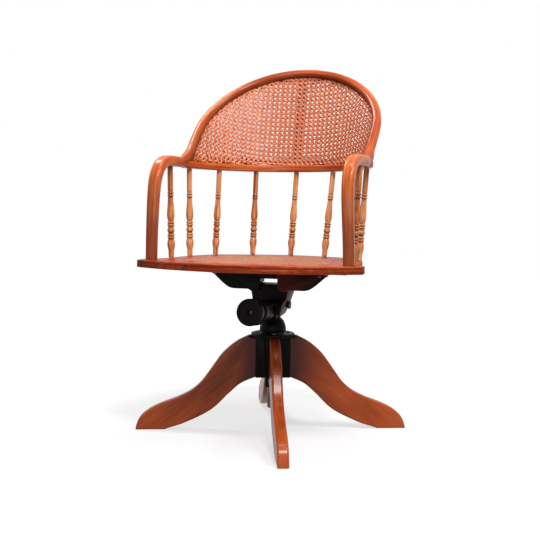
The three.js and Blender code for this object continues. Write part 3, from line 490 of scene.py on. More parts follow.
def new_group(name, inputs):
    """An empty geometry tree with named inputs, and its group input and output nodes."""
    group = bpy.data.node_groups.new(name, "GeometryNodeTree")
    group.interface.new_socket("Geometry", in_out="OUTPUT", socket_type="NodeSocketGeometry")
    for title, kind in inputs.items():
        group.interface.new_socket(title, in_out="INPUT", socket_type=kind)
    tree = Tree(group)
    return group, tree, tree.node("NodeGroupInput").outputs, tree.node("NodeGroupOutput").inputs[0]


def hand_out(tree, shape, given, end):
    """Ends a geometry tree: its shape made real, in the material given."""
    real = tree.out("GeometryNodeRealizeInstances", {}, {0: shape})
    values = {"Geometry": real, "Material": given["Material"]}
    tree.tree.links.new(tree.out("GeometryNodeSetMaterial", {}, values), end)


# A slotted pan head is drawn once and set at each of the places given, along each one's own way out
screw_group, tree, given, end = new_group(
    "set screws",
    {"Places": "NodeSocketGeometry", "Head": "NodeSocketObject", "Material": "NodeSocketMaterial"},
)
spin = tree.out("FunctionNodeRandomValue", {"data_type": "FLOAT"}, {2: 0.0, 3: 6.28, "Seed": 3}, 1)
facing = tree.out("FunctionNodeAlignRotationToVector", {"axis": "Z"}, {"Vector": tree.read("way")})
about = tree.out("FunctionNodeAxisAngleToRotation", {}, {"Axis": (0, 0, 1), "Angle": spin})
turned_by = tree.out("FunctionNodeRotateRotation", {"rotation_space": "LOCAL"}, {0: facing, 1: about})
head = tree.out("GeometryNodeObjectInfo", {}, {"Object": given["Head"]}, "Geometry")
values = {"Points": given["Places"], "Instance": head, "Rotation": turned_by}
hand_out(tree, tree.out("GeometryNodeInstanceOnPoints", {}, values), given, end)


def set_screws(name, radius, height, places, ways, body, slot, nodes):
    """Slotted screws at some places, as one piece on one body."""
    rim = [(0.94, 0), (1, 0.1), (1, 0.35), (0.9, 0.7), (0.66, 0.93), (0.3, 1)]
    mesh = lofted([circle(radius * r, height * z, 24) for r, z in rim])
    cut = bmesh.new()
    cut.from_mesh(mesh)
    slot_half, slot_deep = radius * 0.12, height * 0.42
    for x in (-slot_half, slot_half):
        whole = cut.verts[:] + cut.edges[:] + cut.faces[:]
        bmesh.ops.bisect_plane(cut, geom=whole, plane_co=(x, 0, 0), plane_no=(1, 0, 0))
    for vert in cut.verts:
        if abs(vert.co.x) < slot_half * 1.08 and vert.co.z > height * 0.6:
            vert.co.z -= slot_deep
    cut.to_mesh(mesh)
    smooth(mesh)
    mould = show(name + "_mould", mesh)
    spots = bpy.data.meshes.new(name)
    spots.from_pydata(places, [], [])
    write(spots, "way", ways)
    screws = show(name, spots)
    grown(screws, screw_group, {"Head": mould, "Material": steel})
    bpy.data.objects.remove(mould)
    fit(screws, body, slot, *nodes)


cap_circle, cap_top = 0.038, 0.2403
screw_turns = [base_turn + i * quarter for i in range(4)]
set_screws(
    "cap_screw_heads", 0.005, 0.0025,
    [(cap_circle * math.cos(a), cap_circle * math.sin(a), cap_top + hair) for a in screw_turns],
    [(0, 0, 1)] * 4, "base", "bright_steel", [f"cap_screw_{i + 1}" for i in range(4)],
)

# Screw spindle: one long square-cornered thread on a steel rod, greased and dull, with a plain
# journal at the top that the swivel head turns on.
screw_radius, screw_core, screw_pitch, screw_bottom, bell_bottom = 0.0125, 0.0108, 0.008, 0.052, 0.2434
screw_sides = 32
rows = np.arange(screw_bottom + 0.0008, bell_bottom - 0.001, screw_pitch / 10)
angle = np.arange(screw_sides) * 2 * math.pi / screw_sides
loops = [circle(screw_core - 0.0012, screw_bottom, screw_sides)]
for z in rows:
    phase = (z / screw_pitch - angle / (2 * math.pi)) % 1
    ridge = np.clip((0.34 - np.abs(phase - 0.5)) / 0.1, 0, 1)
    loops.append(circle(screw_core + (screw_radius - screw_core) * ridge, z, screw_sides))
journal = [(screw_core, -hair), (0.009, -hair), (0.009, 0.0212), (0.0082, 0.0217)]
loops += [circle(r, bell_bottom + z, screw_sides) for r, z in journal]
mesh = lofted(loops)
smooth(mesh)
fit(show("threaded_screw", mesh, steel), "spindle", "bright_steel", "screw_spindle")

# Swivel head, tilt housing and pin: a cast bell with a lug and a cross tube, in a folded iron
# channel with splayed cheeks and a nose plate, black, with rust-red on the right cheek, partly rust
# and partly a painted reflection of the red wood. The channel tips on the pin, which has round heads.
dressed("cast_bell", "swivel_head", black_iron, 0.0014, "head", "black_iron")
channel = dressed("folded_channel", "tilt_housing", black_iron, 0.0016, "seat", "black_iron")
# Rust-red on the right cheek's outward faces: partly rust, partly a painted reflection of the red wood.
write(channel.data, "shade_and_rust", [0.5 * (v.co.x > 0.02 and v.normal.x > 0.3) for v in channel.data.vertices])
brown_steel = iron("browned_steel", (44, 28, 22), (70, 36, 24), 0.45, 900, 0.2, 0.3)
dressed("cross_pin", "pivot_pin", brown_steel, 0.001, "seat", "bright_steel")

# Tilt spring: a turned iron barrel with the spring inside it, a plate and rod that squeeze it, and
# a heavy knob with two beads and a square key socket in its face. The knob turns on the rod.
tension_height, tension_rise = 0.2945, math.radians(5)
along_barrel = Matrix.Translation((0, 0, tension_height)) @ Matrix.Rotation(quarter - tension_rise, 4, "X")
barrel_radius, barrel_wall, barrel_length, housing_nose = 0.024, 0.004, 0.075, 0.064
barrel_rear = (housing_nose + hair + barrel_radius * math.sin(tension_rise)) / math.cos(tension_rise)
barrel_front = barrel_rear + barrel_length
knob_rear, knob_length = barrel_front + hair, 0.048
knob_front = knob_rear + knob_length
rod_radius, lug_front, rod_clear, rod_in_knob = 0.005, 0.021, 0.005, 0.03
hole = rod_radius + hair


def along_axis(profile, sides=44, ring=True):
    """A turning along the barrel, from radius and distance ahead of the swivel axis."""
    mesh = lofted([circle(r, z, sides) for r, z in profile], ring)
    mesh.transform(along_barrel)
    smooth(mesh)
    return mesh


def turned(radius, rear, front, from_rear, from_front):
    """Profile points, each given by how far it lies inside a radius and from the rear or the front."""
    return [
        *((radius - inside, rear + along) for inside, along in from_rear),
        *((radius - inside, front - along) for inside, along in from_front),
    ]


barrel = along_axis([(hole, barrel_rear), *turned(
    barrel_radius, barrel_rear, barrel_front,
    [(0.002, 0), (0, 0.002), (0, 0.03), (0.0006, 0.0305)],
    [(0.0006, 0.009), (0, 0.0085), (0, 0.001), (0.001, 0), (barrel_wall, 0)],
), (barrel_radius - barrel_wall, barrel_rear + barrel_wall), (hole, barrel_rear + barrel_wall)])
fit(show("turned_barrel", barrel, black_iron), "seat", "black_iron", "spring_barrel")

knob_radius, knob_sides, socket_half, socket_deep, face_dish = 0.0315, 48, 0.006, 0.008, 0.0006
profile = [(hole, knob_rear), *turned(
    knob_radius, knob_rear, knob_front,
    [(0.003, 0), (0.0009, 0.0009), (0, 0.0032), (0, 0.0068), (0.0009, 0.0092), (0.0035, 0.0106),
     (0.0045, 0.012)],
    [(0.0045, 0.018), (0.0033, 0.0162), (0.0009, 0.0142), (0, 0.0118), (0, 0.0034), (0.0009, 0.0011),
     (0.003, 0), (0.0075, 0), (0.0082, face_dish), (0.021, face_dish)],
)]
loops = [circle(radius, z, knob_sides) for radius, z in profile]
spokes = circle(1, 0, knob_sides)
square = spokes / np.abs(spokes).max(1, keepdims=True) * socket_half
loops += [square + (0, 0, knob_front - depth) for depth in (face_dish, socket_deep)]
loops += [circle(hole, knob_front - socket_deep - depth, knob_sides) for depth in (0.0001, 0.0097)]
mesh = lofted(loops, True)
mesh.transform(along_barrel)
smooth(mesh, 30)
fit(show("turned_knob", mesh, black_iron), "knob", "black_iron", "tension_knob")

rod_rear, rod_front, ends = lug_front + rod_clear, knob_rear + rod_in_knob, [(0.0008, 0), (0, 0.0008)]
mesh = along_axis(turned(rod_radius, rod_rear, rod_front, ends, ends[::-1]), 24, False)
fit(show("spring_rod", mesh, steel), "seat", "bright_steel", "tension_rod")
plate_radius, plate_front, plate_thick, ends = 0.018, barrel_front - 0.016, 0.004, [(0.0006, 0), (0, 0.0006)]
plate_rear = plate_front - plate_thick
edge = turned(plate_radius, plate_rear, plate_front, ends, ends[::-1])
mesh = along_axis([(hole, plate_rear), *edge, (hole, plate_front)])
fit(show("squeeze_plate", mesh, steel), "plate", "bright_steel", "spring_plate")
spring = bpy.data.objects["coil_spring"]
spring.data.materials.clear()
spring.data.materials.append(steel)

# Seat irons: two forged bars over the housing, spread in wings to pads under the battens, with a
# short tie between them and a screw up through each pad. The irons are black, the right one rust-red
# in front, partly rust and partly a painted reflection of the red wood, and the battens are bare
# pale wood.
for side in ("left", "right"):
    forged = dressed(f"forged_iron_{side}", f"seat_iron_{side}", black_iron, 0.0016, "seat", "black_iron")
    if side == "right":
        # Rust-red at the right iron's front inner end: partly rust, partly a painted reflection of the red
        # wood.
        x, y = spots_of(forged.data).T[:2]
        write(forged.data, "shade_and_rust", np.clip((0.075 - x) / 0.025, 0, 1) * (y < 0))
dressed("tie_block", "iron_tie", black_iron, 0.001, "seat", "black_iron")
pale_wood = wood("bare_wood", (150, 112, 78), (186, 150, 112), (212, 182, 146), 0.1)
for side in ("front", "rear"):
    batten = dressed(f"sawn_batten_{side}", f"{side}_batten", pale_wood, 0.0015, "seat", "batten_wood")
    lay_grain(batten.data, (1, 0, 0), (0, 1, 0), 0.2 if side == "rear" else 0)
pad_middle, pad_screw, iron_top, pad_thick = 0.131, 0.063, 0.3939, 0.005
set_screws(
    "iron_screw_heads", 0.005, 0.003,
    [(x, y, iron_top - pad_thick - hair) for x in (-pad_middle, pad_middle) for y in (-pad_screw, pad_screw)],
    [(0, 0, -1)] * 4, "seat", "bright_steel", [f"iron_screw_{i + 1}" for i in range(4)],
)

# Seat frame: four sawn rails round the caned opening, butted at hair lines, with a rounded top
# edge and a fine sunk line below it, stained red-brown and varnished.
seat_top, seat_thick, corner_half, corner_front, corner_rear = 0.425, 0.0175, 0.264, 0.222, -0.198
bow_half, bow_start, bow_deep, front_bow = 0.222, -0.118, 0.273, 0.08
front_radius = (corner_half**2 + front_bow**2) / (2 * front_bow)


def bow(half, start, deep, shares, steps):
    """A line in plan, bowed to the rear, from shares of its half width and depth on one side."""
    left = [(-half * x, start + deep * y) for x, y in shares]
    return bent([*left, (0, start + deep), *((-x, y) for x, y in left[::-1])], steps)


seat_bow = bow(bow_half, bow_start, bow_deep, [(1, 0), (0.973, 0.36), (0.824, 0.718), (0.437, 0.905)], 96)


def front_edge(x):
    """How far forward the bowed front edge lies at a place across."""
    return front_radius - front_bow - corner_front - np.sqrt(front_radius**2 - x**2)


def unit(ways):
    """The same directions, each of length one."""
    return ways / np.linalg.norm(ways, axis=-1, keepdims=True)


def shifted(line, offset):
    """An open plan line moved sideways, to the left of its own direction."""
    way = unit(np.gradient(line, axis=0))
    return line + offset * np.stack([-way[:, 1], way[:, 0]], 1)


def seat_opening(inset):
    """The caned opening's outline, drawn in by an inset."""
    back_half, back_deep, front_half, front_rail = 0.166 - inset, 0.212 - inset, 0.184 - inset, 0.074 + inset
    angle = np.linspace(math.pi, 0, 49)
    back = np.stack([back_half * np.cos(angle), bow_start + back_deep * np.sin(angle)], 1)
    x = np.linspace(front_half, -front_half, 41)
    return np.vstack([back, np.stack([x, front_edge(x) + front_rail], 1)])


def rounded(loop, radius):
    """A closed outline with its sharp corners rounded."""
    made = []
    for before, at, after in zip(np.roll(loop, 1, 0), loop, np.roll(loop, -1, 0)):
        into, out = unit(at - before), unit(after - at)
        if into @ out > math.cos(math.radians(20)):
            made.append(at)
            continue
        t = np.linspace(0, 1, 6)[:, None]
        made += list((at - into * radius) * (1 - t) ** 2 + at * 2 * t * (1 - t) + (at + out * radius) * t**2)
    return np.array(made)


def drawn_in(loop, inset):
    """A closed outline, clockwise from above, moved inwards by an inset."""
    edge = unit(np.roll(loop, -1, 0) - loop)
    inward = np.stack([edge[:, 1], -edge[:, 0]], 1)
    both = inward + np.roll(inward, 1, 0)
    return loop + inset * both / (both * inward).sum(1, keepdims=True)


x = np.linspace(corner_half, -corner_half, 33)
front = np.stack([x, front_edge(x)], 1)
seat_edge = rounded(np.vstack([
    shifted(seat_bow, 0.009), [(corner_half, corner_rear)], front, [(-corner_half, corner_rear)],
]), 0.005)
middle = np.array([0, -0.08])


def cross(a, b):
    """The cross product of plan vectors."""
    return a[..., 0] * b[..., 1] - a[..., 1] * b[..., 0]


def at_angles(loop, angles):
    """Where an outline crosses each ray from the middle of the seat."""
    start = loop - middle
    run = np.roll(start, -1, 0) - start
    made = []
    for angle in angles:
        way = np.array([math.cos(angle), math.sin(angle)])
        spread = cross(way, run)
        spread = np.where(np.abs(spread) < 1e-12, 1e-12, spread)
        reach, share = cross(start, run) / spread, cross(start, way) / spread
        hit = (reach > 0) & (share >= -1e-9) & (share <= 1 + 1e-9)
        made.append(middle + way * reach[hit].max())
    return np.array(made)


opening = seat_opening(0)
angles = np.concatenate([np.arctan2(*(loop - middle).T[::-1]) for loop in (seat_edge, opening)])
angles = np.unique(np.round(angles, 5))[::-1]
outer, inner = at_angles(seat_edge, angles), at_angles(opening, angles)
moulding = [
    (0.0042, 0), (0.002, 0.0004), (0.0007, 0.0014), (0, 0.0032), (0, 0.0052), (0.0005, 0.0062),
    (0.0014, 0.0066), (0.0014, 0.0074), (0.0003, 0.0079), (0, 0.0087), (0, 0.0152),
    (0.0007, 0.0168), (0.002, seat_thick),
]
moulded = [at_height(drawn_in(outer, inset), seat_top - drop) for inset, drop in moulding]
whole_frame = lofted([at_height(inner, seat_top), *moulded, at_height(inner, seat_top - seat_thick)], True)


def kept(mesh, *cuts):
    """A copy of a closed mesh, kept on the near side of each plane given, and closed again."""
    shape = bmesh.new()
    shape.from_mesh(mesh)
    for place, way in cuts:
        whole = shape.verts[:] + shape.edges[:] + shape.faces[:]
        plane = {"plane_co": place, "plane_no": way, "clear_outer": True}
        done = bmesh.ops.bisect_plane(shape, geom=whole, dist=1e-6, **plane)
        rim = [e for e in done["geom_cut"] if isinstance(e, bmesh.types.BMEdge)]
        bmesh.ops.holes_fill(shape, edges=rim, sides=0)
    bmesh.ops.recalc_face_normals(shape, faces=shape.faces)
    made = bpy.data.meshes.new("cut")
    shape.to_mesh(made)
    shape.free()
    return made


seat_wood = wood("stained_seat", (84, 16, 4), (150, 52, 18), (198, 106, 48), 0.4, 0.6)
front_joint, back_joint, half_gap = -0.186, 0.062, hair / 2
at_sides = [((0, front_joint + half_gap, 0), (0, -1, 0)), ((0, back_joint - half_gap, 0), (0, 1, 0))]
rails = {  # the planes that cut each rail out of the whole frame, and its grain along and across
    "front": ([((0, front_joint - half_gap, 0), (0, 1, 0))], (1, 0, 0), (0, 1, 0)),
    "left": ([*at_sides, ((0, 0, 0), (1, 0, 0))], (0, 1, 0), (1, 0, 0)),
    "right": ([*at_sides, ((0, 0, 0), (-1, 0, 0))], (0, 1, 0), (1, 0, 0)),
    "back": ([((0, back_joint + half_gap, 0), (0, -1, 0))], (1, 0, 0), (0, 1, 0)),
}
for side, (cuts, along, across) in rails.items():
    mesh = kept(whole_frame, *cuts)
    smooth(mesh)
    lay_grain(mesh, along, across, 0.13 * len(side))
    # Painted shade: the upright faces of the rails are darker than their top, and more so towards the ends.
    edge = np.array([abs(v.normal.z) < 0.6 for v in mesh.vertices])
    outwards = np.clip(np.abs(spots_of(mesh)[:, 0]) / 0.2 - 0.35, 0, 1)
    write(mesh, "shade_and_rust", edge * (0.08 + 0.45 * outwards))
    fit(show(f"seat_rail_{side}", mesh, seat_wood), "seat", "seat_wood", f"seat_{side}_rail")

# Arms: each one squared bar, steamed and bent from the foot of the post over to the hoop, a little
# fuller at the bend than at the foot, with rounded corners and an orange-brown varnish.
bar_group, tree, given, end = new_group(
    "bent bar",
    {
        "Line": "NodeSocketGeometry", "Thick": "NodeSocketFloat", "Wide": "NodeSocketFloat",
        "Round": "NodeSocketFloat", "Corner": "NodeSocketInt", "Material": "NodeSocketMaterial",
    },
)
curve = tree.out("GeometryNodeMeshToCurve", {}, {0: given["Line"]})
values = {"Curve": curve, "Normal": tree.read("face")}
curve = tree.out("GeometryNodeSetCurveNormal", {"mode": "FREE"}, values)
curve = tree.store(curve, "run", tree.out("GeometryNodeSplineParameter", output="Length"), "FLOAT")
pick = tree.out("FunctionNodeRandomValue", {"data_type": "FLOAT"}, {2: 0.0, 3: 9.0, "Seed": 7}, 1)
curve = tree.store(curve, "pick", pick, "FLOAT", "CURVE")
values = {"Width": given["Thick"], "Height": given["Wide"]}
outline = tree.out("GeometryNodeCurvePrimitiveQuadrilateral", {}, values)
values = {"Curve": outline, "Radius": given["Round"], "Count": given["Corner"]}
outline = tree.out("GeometryNodeFilletCurve", {"mode": "POLY"}, values)
outline = tree.store(outline, "spot", tree.out("GeometryNodeInputPosition"))
values = {"Curve": curve, "Profile Curve": outline, "Scale": tree.read("girth", "FLOAT"), "Fill Caps": True}
skin = tree.out("GeometryNodeCurveToMesh", {}, values)
inside = tree.node("ShaderNodeSeparateXYZ", {}, {0: tree.read("spot")}).outputs
run, chance = (Field(tree, tree.read(name, "FLOAT")) for name in ("run", "pick"))
values = {0: run + chance, 1: Field(tree, inside[0]) + chance, 2: inside[1]}
hand_out(tree, tree.store(skin, "grain", tree.out("ShaderNodeCombineXYZ", {}, values)), given, end)


def bars(name, lines, face, thick, wide, corner_radius, corner_steps, material, girth=None):
    """Bars of one section along lines, with the way their thickness faces, once or at each point."""
    counts = [len(line) for line in lines]
    edges = []
    for start, count in zip(np.cumsum([0, *counts]), counts):
        edges += [(int(start) + i, int(start) + i + 1) for i in range(count - 1)]
    points = np.vstack(lines)
    mesh = bpy.data.meshes.new(name)
    mesh.from_pydata(points.tolist(), edges, [])
    write(mesh, "face", np.broadcast_to(face, points.shape))
    write(mesh, "girth", np.ones(len(points)) if girth is None else girth)
    piece = show(name, mesh)
    values = {"Thick": thick, "Wide": wide, "Round": corner_radius, "Corner": corner_steps}
    made = grown(piece, bar_group, {**values, "Material": material})
    for extra in ("face", "girth", "run", "pick", "spot"):
        if extra in made.attributes:
            made.attributes.remove(made.attributes[extra])
    return piece


arm_half, arm_lean, post_front, arm_end, arm_level = 0.231, 0.006, 0.211, -0.027, 0.6573
arm_points = [
    (0, 0, 0), (0.25, -0.005, 0.235), (0.67, -0.01, 0.49), (0.92, 0, 0.66), (1, 0.045, 0.81),
    (1, 0.16, 0.925), (0.85, 0.33, 0.985), (0.35, 0.58, 1), (0, 0.82, 1), (0.05, 0.97, 1), (0.4, 1.11, 0.988),
]
arm_wood = wood("stained_arm", (108, 30, 8), (174, 78, 32), (216, 138, 78), 1.0, 0.55)
arm_foot, arm_thick, arm_wide, arm_round = seat_top + hair, 0.026, 0.024, 0.007
darker_top, darker_fade = 0.635, 0.17
for side, sign in (("left", -1), ("right", 1)):
    line = bent([(
        sign * (arm_half - lean * arm_lean),
        -post_front + run * (arm_end + post_front),
        arm_foot + rise * (arm_level - arm_foot),
    ) for lean, run, rise in arm_points], 72)
    share = np.linspace(0, 1, len(line))
    fuller, slimmer = np.clip(share / 0.5, 0, 1) ** 1.5, np.clip((share - 0.84) / 0.16, 0, 1) ** 1.3
    girth = 0.93 + 0.12 * fuller - 0.36 * slimmer
    arm = bars(f"bent_arm_{side}", [line], (1, 0, 0), arm_thick, arm_wide, arm_round, 4, arm_wood, girth)
    smooth(arm.data)
    # Darker towards the foot of each post.
    write(arm.data, "shade_and_rust", 0.5 * np.clip((darker_top - spots_of(arm.data)[:, 2]) / darker_fade, 0, 1))
    fit(arm, "seat", "arm_wood", f"arm_{side}")

# Back rail: a crescent sawn from 18 mm plank that caps the spindles, from one arm's end round to
# the other's, with softened edges.
rail_under, rail_thick, rail_width, in_arm = 0.645, 0.018, 0.03, 0.02
rail_bow = bow(arm_half, -0.108, 0.31, [(1, 0), (0.985, 0.333), (0.81, 0.652), (0.468, 0.916)], 240)
rail_top = rail_under + rail_thick
behind_arms = rail_bow[rail_bow[:, 1] > arm_end - in_arm]
line = at_height(behind_arms, rail_under + rail_thick / 2)
girth = 0.45 + 0.55 * np.clip((behind_arms[:, 1] - arm_end + in_arm) / 0.032, 0, 1)
rail = bars("bow_rail", [line], (0, 0, 1), rail_thick, rail_width, 0.004, 3, arm_wood, girth)
smooth(rail.data)
fit(rail, "seat", "arm_wood", "back_rail")

# Spindles: nine turnings of one pattern, evenly spaced round the seat and splayed out to the rail.
# From the foot each has a bulb, a ring, a ball, two rings, a long belly and a double bead.
spindle_radius, spindle_sides = 0.0095, 20
spindle_wood = wood("stained_spindle", (118, 52, 22), (192, 116, 66), (230, 176, 122), 1.0)
body_shares = [
    (0, 0.54), (0.05, 0.6), (0.1, 0.85), (0.15, 1), (0.19, 0.86), (0.205, 0.72), (0.26, 0.72),
    (0.33, 0.72), (0.4, 0.74), (0.42, 0.84), (0.46, 0.97), (0.52, 0.9), (0.6, 0.73), (0.66, 0.64),
    (0.732, 0.58), (0.8, 0.53), (1, 0.5),
]
beads = [  # the middle, half width and crown of each, as shares of the length and the radius
    (0.218, 0.0125, 0.92), (0.246, 0.0125, 0.92), (0.301, 0.025, 0.92), (0.354, 0.0125, 0.92),
    (0.382, 0.0125, 0.92), (0.68, 0.0135, 0.8), (0.71, 0.0135, 0.8),
]
over = np.cos(np.linspace(0, math.pi, 9))
at = [np.linspace(0, 1, 40), *(centre + half * over for centre, half, crown in beads)]
at = np.unique(np.concatenate(at))
body_line = bent(body_shares, 12, True)
girth = np.interp(at, body_line[:, 0], body_line[:, 1])
groove_shade = np.zeros(len(at))
for centre, half, crown in beads:
    share = (at - centre) / half
    within = np.sqrt(np.clip(1 - share**2, 0, 1))
    girth = np.maximum(girth, crown - 0.22 + 0.22 * within)
    girth = girth - 0.1 * np.exp(-(((np.abs(share) - 1) / 0.14) ** 2))
    groove_shade = np.maximum(groove_shade, np.exp(-(((np.abs(share) - 1) / 0.2) ** 2)))
spindle_mesh = lofted([circle(spindle_radius * g, z, spindle_sides) for g, z in zip(girth, at)])
smooth(spindle_mesh, 60)
# Painted shade in the grooves at the edges of each ring and bead.
write(spindle_mesh, "shade_and_rust", 0.75 * np.append(np.repeat(groove_shade, spindle_sides), (0, 0)))
spindle_mould = show("spindle_mould", spindle_mesh)

spindle_group, tree, given, end = new_group(
    "round the bow",
    {"Feet": "NodeSocketGeometry", "Turning": "NodeSocketObject", "Material": "NodeSocketMaterial"},
)
line_up = tree.read("way")
long = tree.out("ShaderNodeVectorMath", {"operation": "LENGTH"}, {0: line_up}, "Value")
facing = tree.out("FunctionNodeAlignRotationToVector", {"axis": "Z"}, {"Vector": line_up})
scale = tree.out("ShaderNodeCombineXYZ", {}, {0: 1.0, 1: 1.0, 2: long})
one = tree.out("GeometryNodeObjectInfo", {}, {"Object": given["Turning"]}, "Geometry")
spot = tree.node("ShaderNodeSeparateXYZ", {}, {0: tree.out("GeometryNodeInputPosition")}).outputs
place = tree.out("ShaderNodeCombineXYZ", {}, {0: Field(tree, spot[2]) * 0.22, 1: spot[0], 2: spot[1]})
one = tree.store(one, "grain", place)
values = {"Points": given["Feet"], "Instance": one, "Rotation": facing, "Scale": scale}
nine = tree.out("GeometryNodeInstanceOnPoints", {}, values)
values = {0: (0, 0, 0), 1: (4, 4, 4), "Seed": 11}
pick = tree.out("FunctionNodeRandomValue", {"data_type": "FLOAT_VECTOR"}, values)
nine = tree.store(nine, "pick", pick, domain="INSTANCE")
nine = tree.out("GeometryNodeRealizeInstances", {}, {0: nine})
place = tree.out("ShaderNodeVectorMath", {"operation": "ADD"}, {0: tree.read("grain"), 1: tree.read("pick")})
hand_out(tree, tree.store(nine, "grain", place), given, end)

feet, ways = [], []
for foot, top in zip(even(seat_bow, 8), even(rail_bow, 8)):
    foot, top = np.append(foot, seat_top + hair), np.append(top, rail_under - hair)
    splay = np.linalg.norm((top - foot)[:2]) / (top - foot)[2]
    tilted_rim = splay * body_shares[0][1] * spindle_radius
    foot[2] += tilted_rim
    top[2] -= tilted_rim
    feet.append(foot)
    ways.append(top - foot)
mesh = bpy.data.meshes.new("turned_spindles")
mesh.from_pydata(np.array(feet).tolist(), [], [])
write(mesh, "way", ways)
spindles = show("turned_spindles", mesh)
grown(spindles, spindle_group, {"Turning": spindle_mould, "Material": spindle_wood})
bpy.data.objects.remove(spindle_mould)
fit(spindles, "seat", "spindle_wood", *[f"spindle_{i + 1}" for i in range(9)])

# Hoop: one round bar, bent flat in its own plane and leaned back. Its feet bend forward into the
# ends of the arms, and are left fuller there, where both are carved into each other.
hoop_thick, foot_half, hoop_half, hoop_leg, hoop_rise = 0.0235, 0.229, 0.232, 0.104, 0.245
hoop_lean = math.radians(47)
hoop_place = Matrix.Translation((0, 0.001, rail_top + 0.011)) @ Matrix.Rotation(quarter - hoop_lean, 4, "X")
hoop_out = np.array(hoop_place.to_3x3() @ Vector((0, 0, 1)))


def hoop_line(inset, start, shares):
    """Points of the hoop drawn in by an inset, at shares of its way from left foot to right foot."""
    run = hoop_leg - start
    leg = run / (2 * run + math.pi * hoop_rise)
    angle = np.pi * (shares - leg) / (1 - 2 * leg)
    near = np.clip(np.minimum(shares, 1 - shares) / leg, 0, 1)
    half = hoop_half - inset
    on_leg = (foot_half - inset) + (hoop_half - foot_half) * np.sin(near * math.pi / 2)
    on_arch = (shares > leg) & (shares < 1 - leg)
    arch_rise = hoop_leg + (hoop_rise - inset) * np.sin(np.clip(angle, 0, np.pi))
    x = np.where(on_arch, -half * np.cos(angle), np.where(shares < 0.5, -on_leg, on_leg))
    rise = np.where(on_arch, arch_rise, start + near * run)
    flat = np.column_stack([x, rise, np.zeros(len(x)), np.ones(len(x))])
    return (flat @ np.array(hoop_place).T)[:, :3], leg


upper, leg = hoop_line(0, 0.016, np.linspace(0, 1, 141))
foot_x, inside_arm = foot_half + 0.001, arm_level + 0.0015
knee = [(-0.07, -0.001), (-0.048, 0), (-0.027, 0.003), (-0.008, 0.0115)]
left_foot, right_foot = ([(s * foot_x, y, inside_arm + z) for y, z in knee] for s in (-1, 1))
line = even(bent([*left_foot, *upper[::4], *right_foot[::-1]], 4, True), 180)
way = np.gradient(line, axis=0)
out_of_plane = np.cross(np.cross(way, hoop_out), way)
run = run_of(line)
from_end = np.minimum(run, run[-1] - run)
girth = 1 + 0.2 * np.exp(-(((from_end - 0.068) / 0.026) ** 2)) - 0.16 * np.clip(1 - from_end / 0.03, 0, 1)
corner = hoop_thick * 0.46
hoop = bars("bent_hoop", [line], out_of_plane, hoop_thick, hoop_thick, corner, 4, arm_wood, girth)
smooth(hoop.data)
# Painted shade: the hoop's faces that look in towards the middle of the bow are darker.
middle_of_bow = hoop_place @ Vector((0, hoop_leg, 0))
facing_in = np.array([v.normal.dot((middle_of_bow - v.co).normalized()) for v in hoop.data.vertices])
write(hoop.data, "shade_and_rust", 0.5 * np.clip((facing_in - 0.25) / 0.5, 0, 1))
fit(hoop, "seat", "arm_wood", "hoop")

# Back cane: split cane woven six ways, in upright and level pairs with a slanting strand each way
# between their crossings, drawn tight over the rebate behind the hoop and varnished.
cane_inset, cane_start, cane_foot, tuck, cane_back = 0.008, -0.005, 0.228, 0.955, 0.004
mesh_across, mesh_up, pair_half, pair_lift, slant_lift = 0.0131, 0.012, 0.0023, 0.0008, 0.0018
strand = {"thick": 0.0013, "wide": 0.004, "corner_radius": 0.0, "corner_steps": 1}


def cane(name, dark, plain, pale, gloss):
    """Split cane: a glossy skin with long fine lines, and each strand its own tone."""
    return wood(name, dark, plain, pale, gloss, 0.3, 0.8, coat=gloss, coat_rough=0.32, specular=0.4)


back_cane = cane("back_cane", (118, 46, 20), (188, 94, 48), (228, 158, 106), 1.0)
shares = np.linspace(0, 1, 601)
head_points, leg = hoop_line(cane_inset, cane_start, shares)
head_points -= cane_back * hoop_out
to_foot = np.clip(1 - np.minimum(shares, 1 - shares) / leg, 0, 1)
foot_x = (tuck + (1 - tuck) * to_foot) * head_points[:, 0] * cane_foot / (hoop_half - cane_inset)
rail_run = rail_bow[rail_bow[:, 1] > arm_end]
foot_y = np.interp(foot_x, rail_run[:, 0], rail_run[:, 1])
foot_points = at_height(np.stack([foot_x, foot_y], 1), rail_top + hair)
standing = (np.linalg.norm(head_points - foot_points, axis=1) > 0.006) & (np.gradient(foot_x) > 1e-6)
foot_points, head_points = foot_points[standing], head_points[standing]


def laid_flat(low, high):
    """The lower and upper edges of a bent sheet laid out flat, worked outwards from its middle."""
    flat = np.zeros((2, len(low), 2))
    middle_line = len(low) // 2
    flat[1, middle_line] = (0, np.linalg.norm(high[middle_line] - low[middle_line]))

    def beyond(a, b, flat_a, flat_b, c):
        wide, to_a, to_b = (np.linalg.norm(v) for v in (b - a, c - a, c - b))
        way = (flat_b - flat_a) / wide
        along = (to_a**2 - to_b**2 + wide**2) / (2 * wide)
        return flat_a + way * along + np.array([way[1], -way[0]]) * math.sqrt(max(to_a**2 - along**2, 0))

    for i in range(middle_line, len(low) - 1):
        flat[0, i + 1] = beyond(low[i], high[i], flat[0, i], flat[1, i], low[i + 1])
        flat[1, i + 1] = beyond(low[i + 1], high[i], flat[0, i + 1], flat[1, i], high[i + 1])
    flat[:, :middle_line] = flat[:, :middle_line:-1][:, :middle_line] * (-1, 1)
    return flat


flat_foot, flat_head = laid_flat(foot_points, head_points)
flat_rise, tall = flat_head - flat_foot, flat_head[:, 1].max()


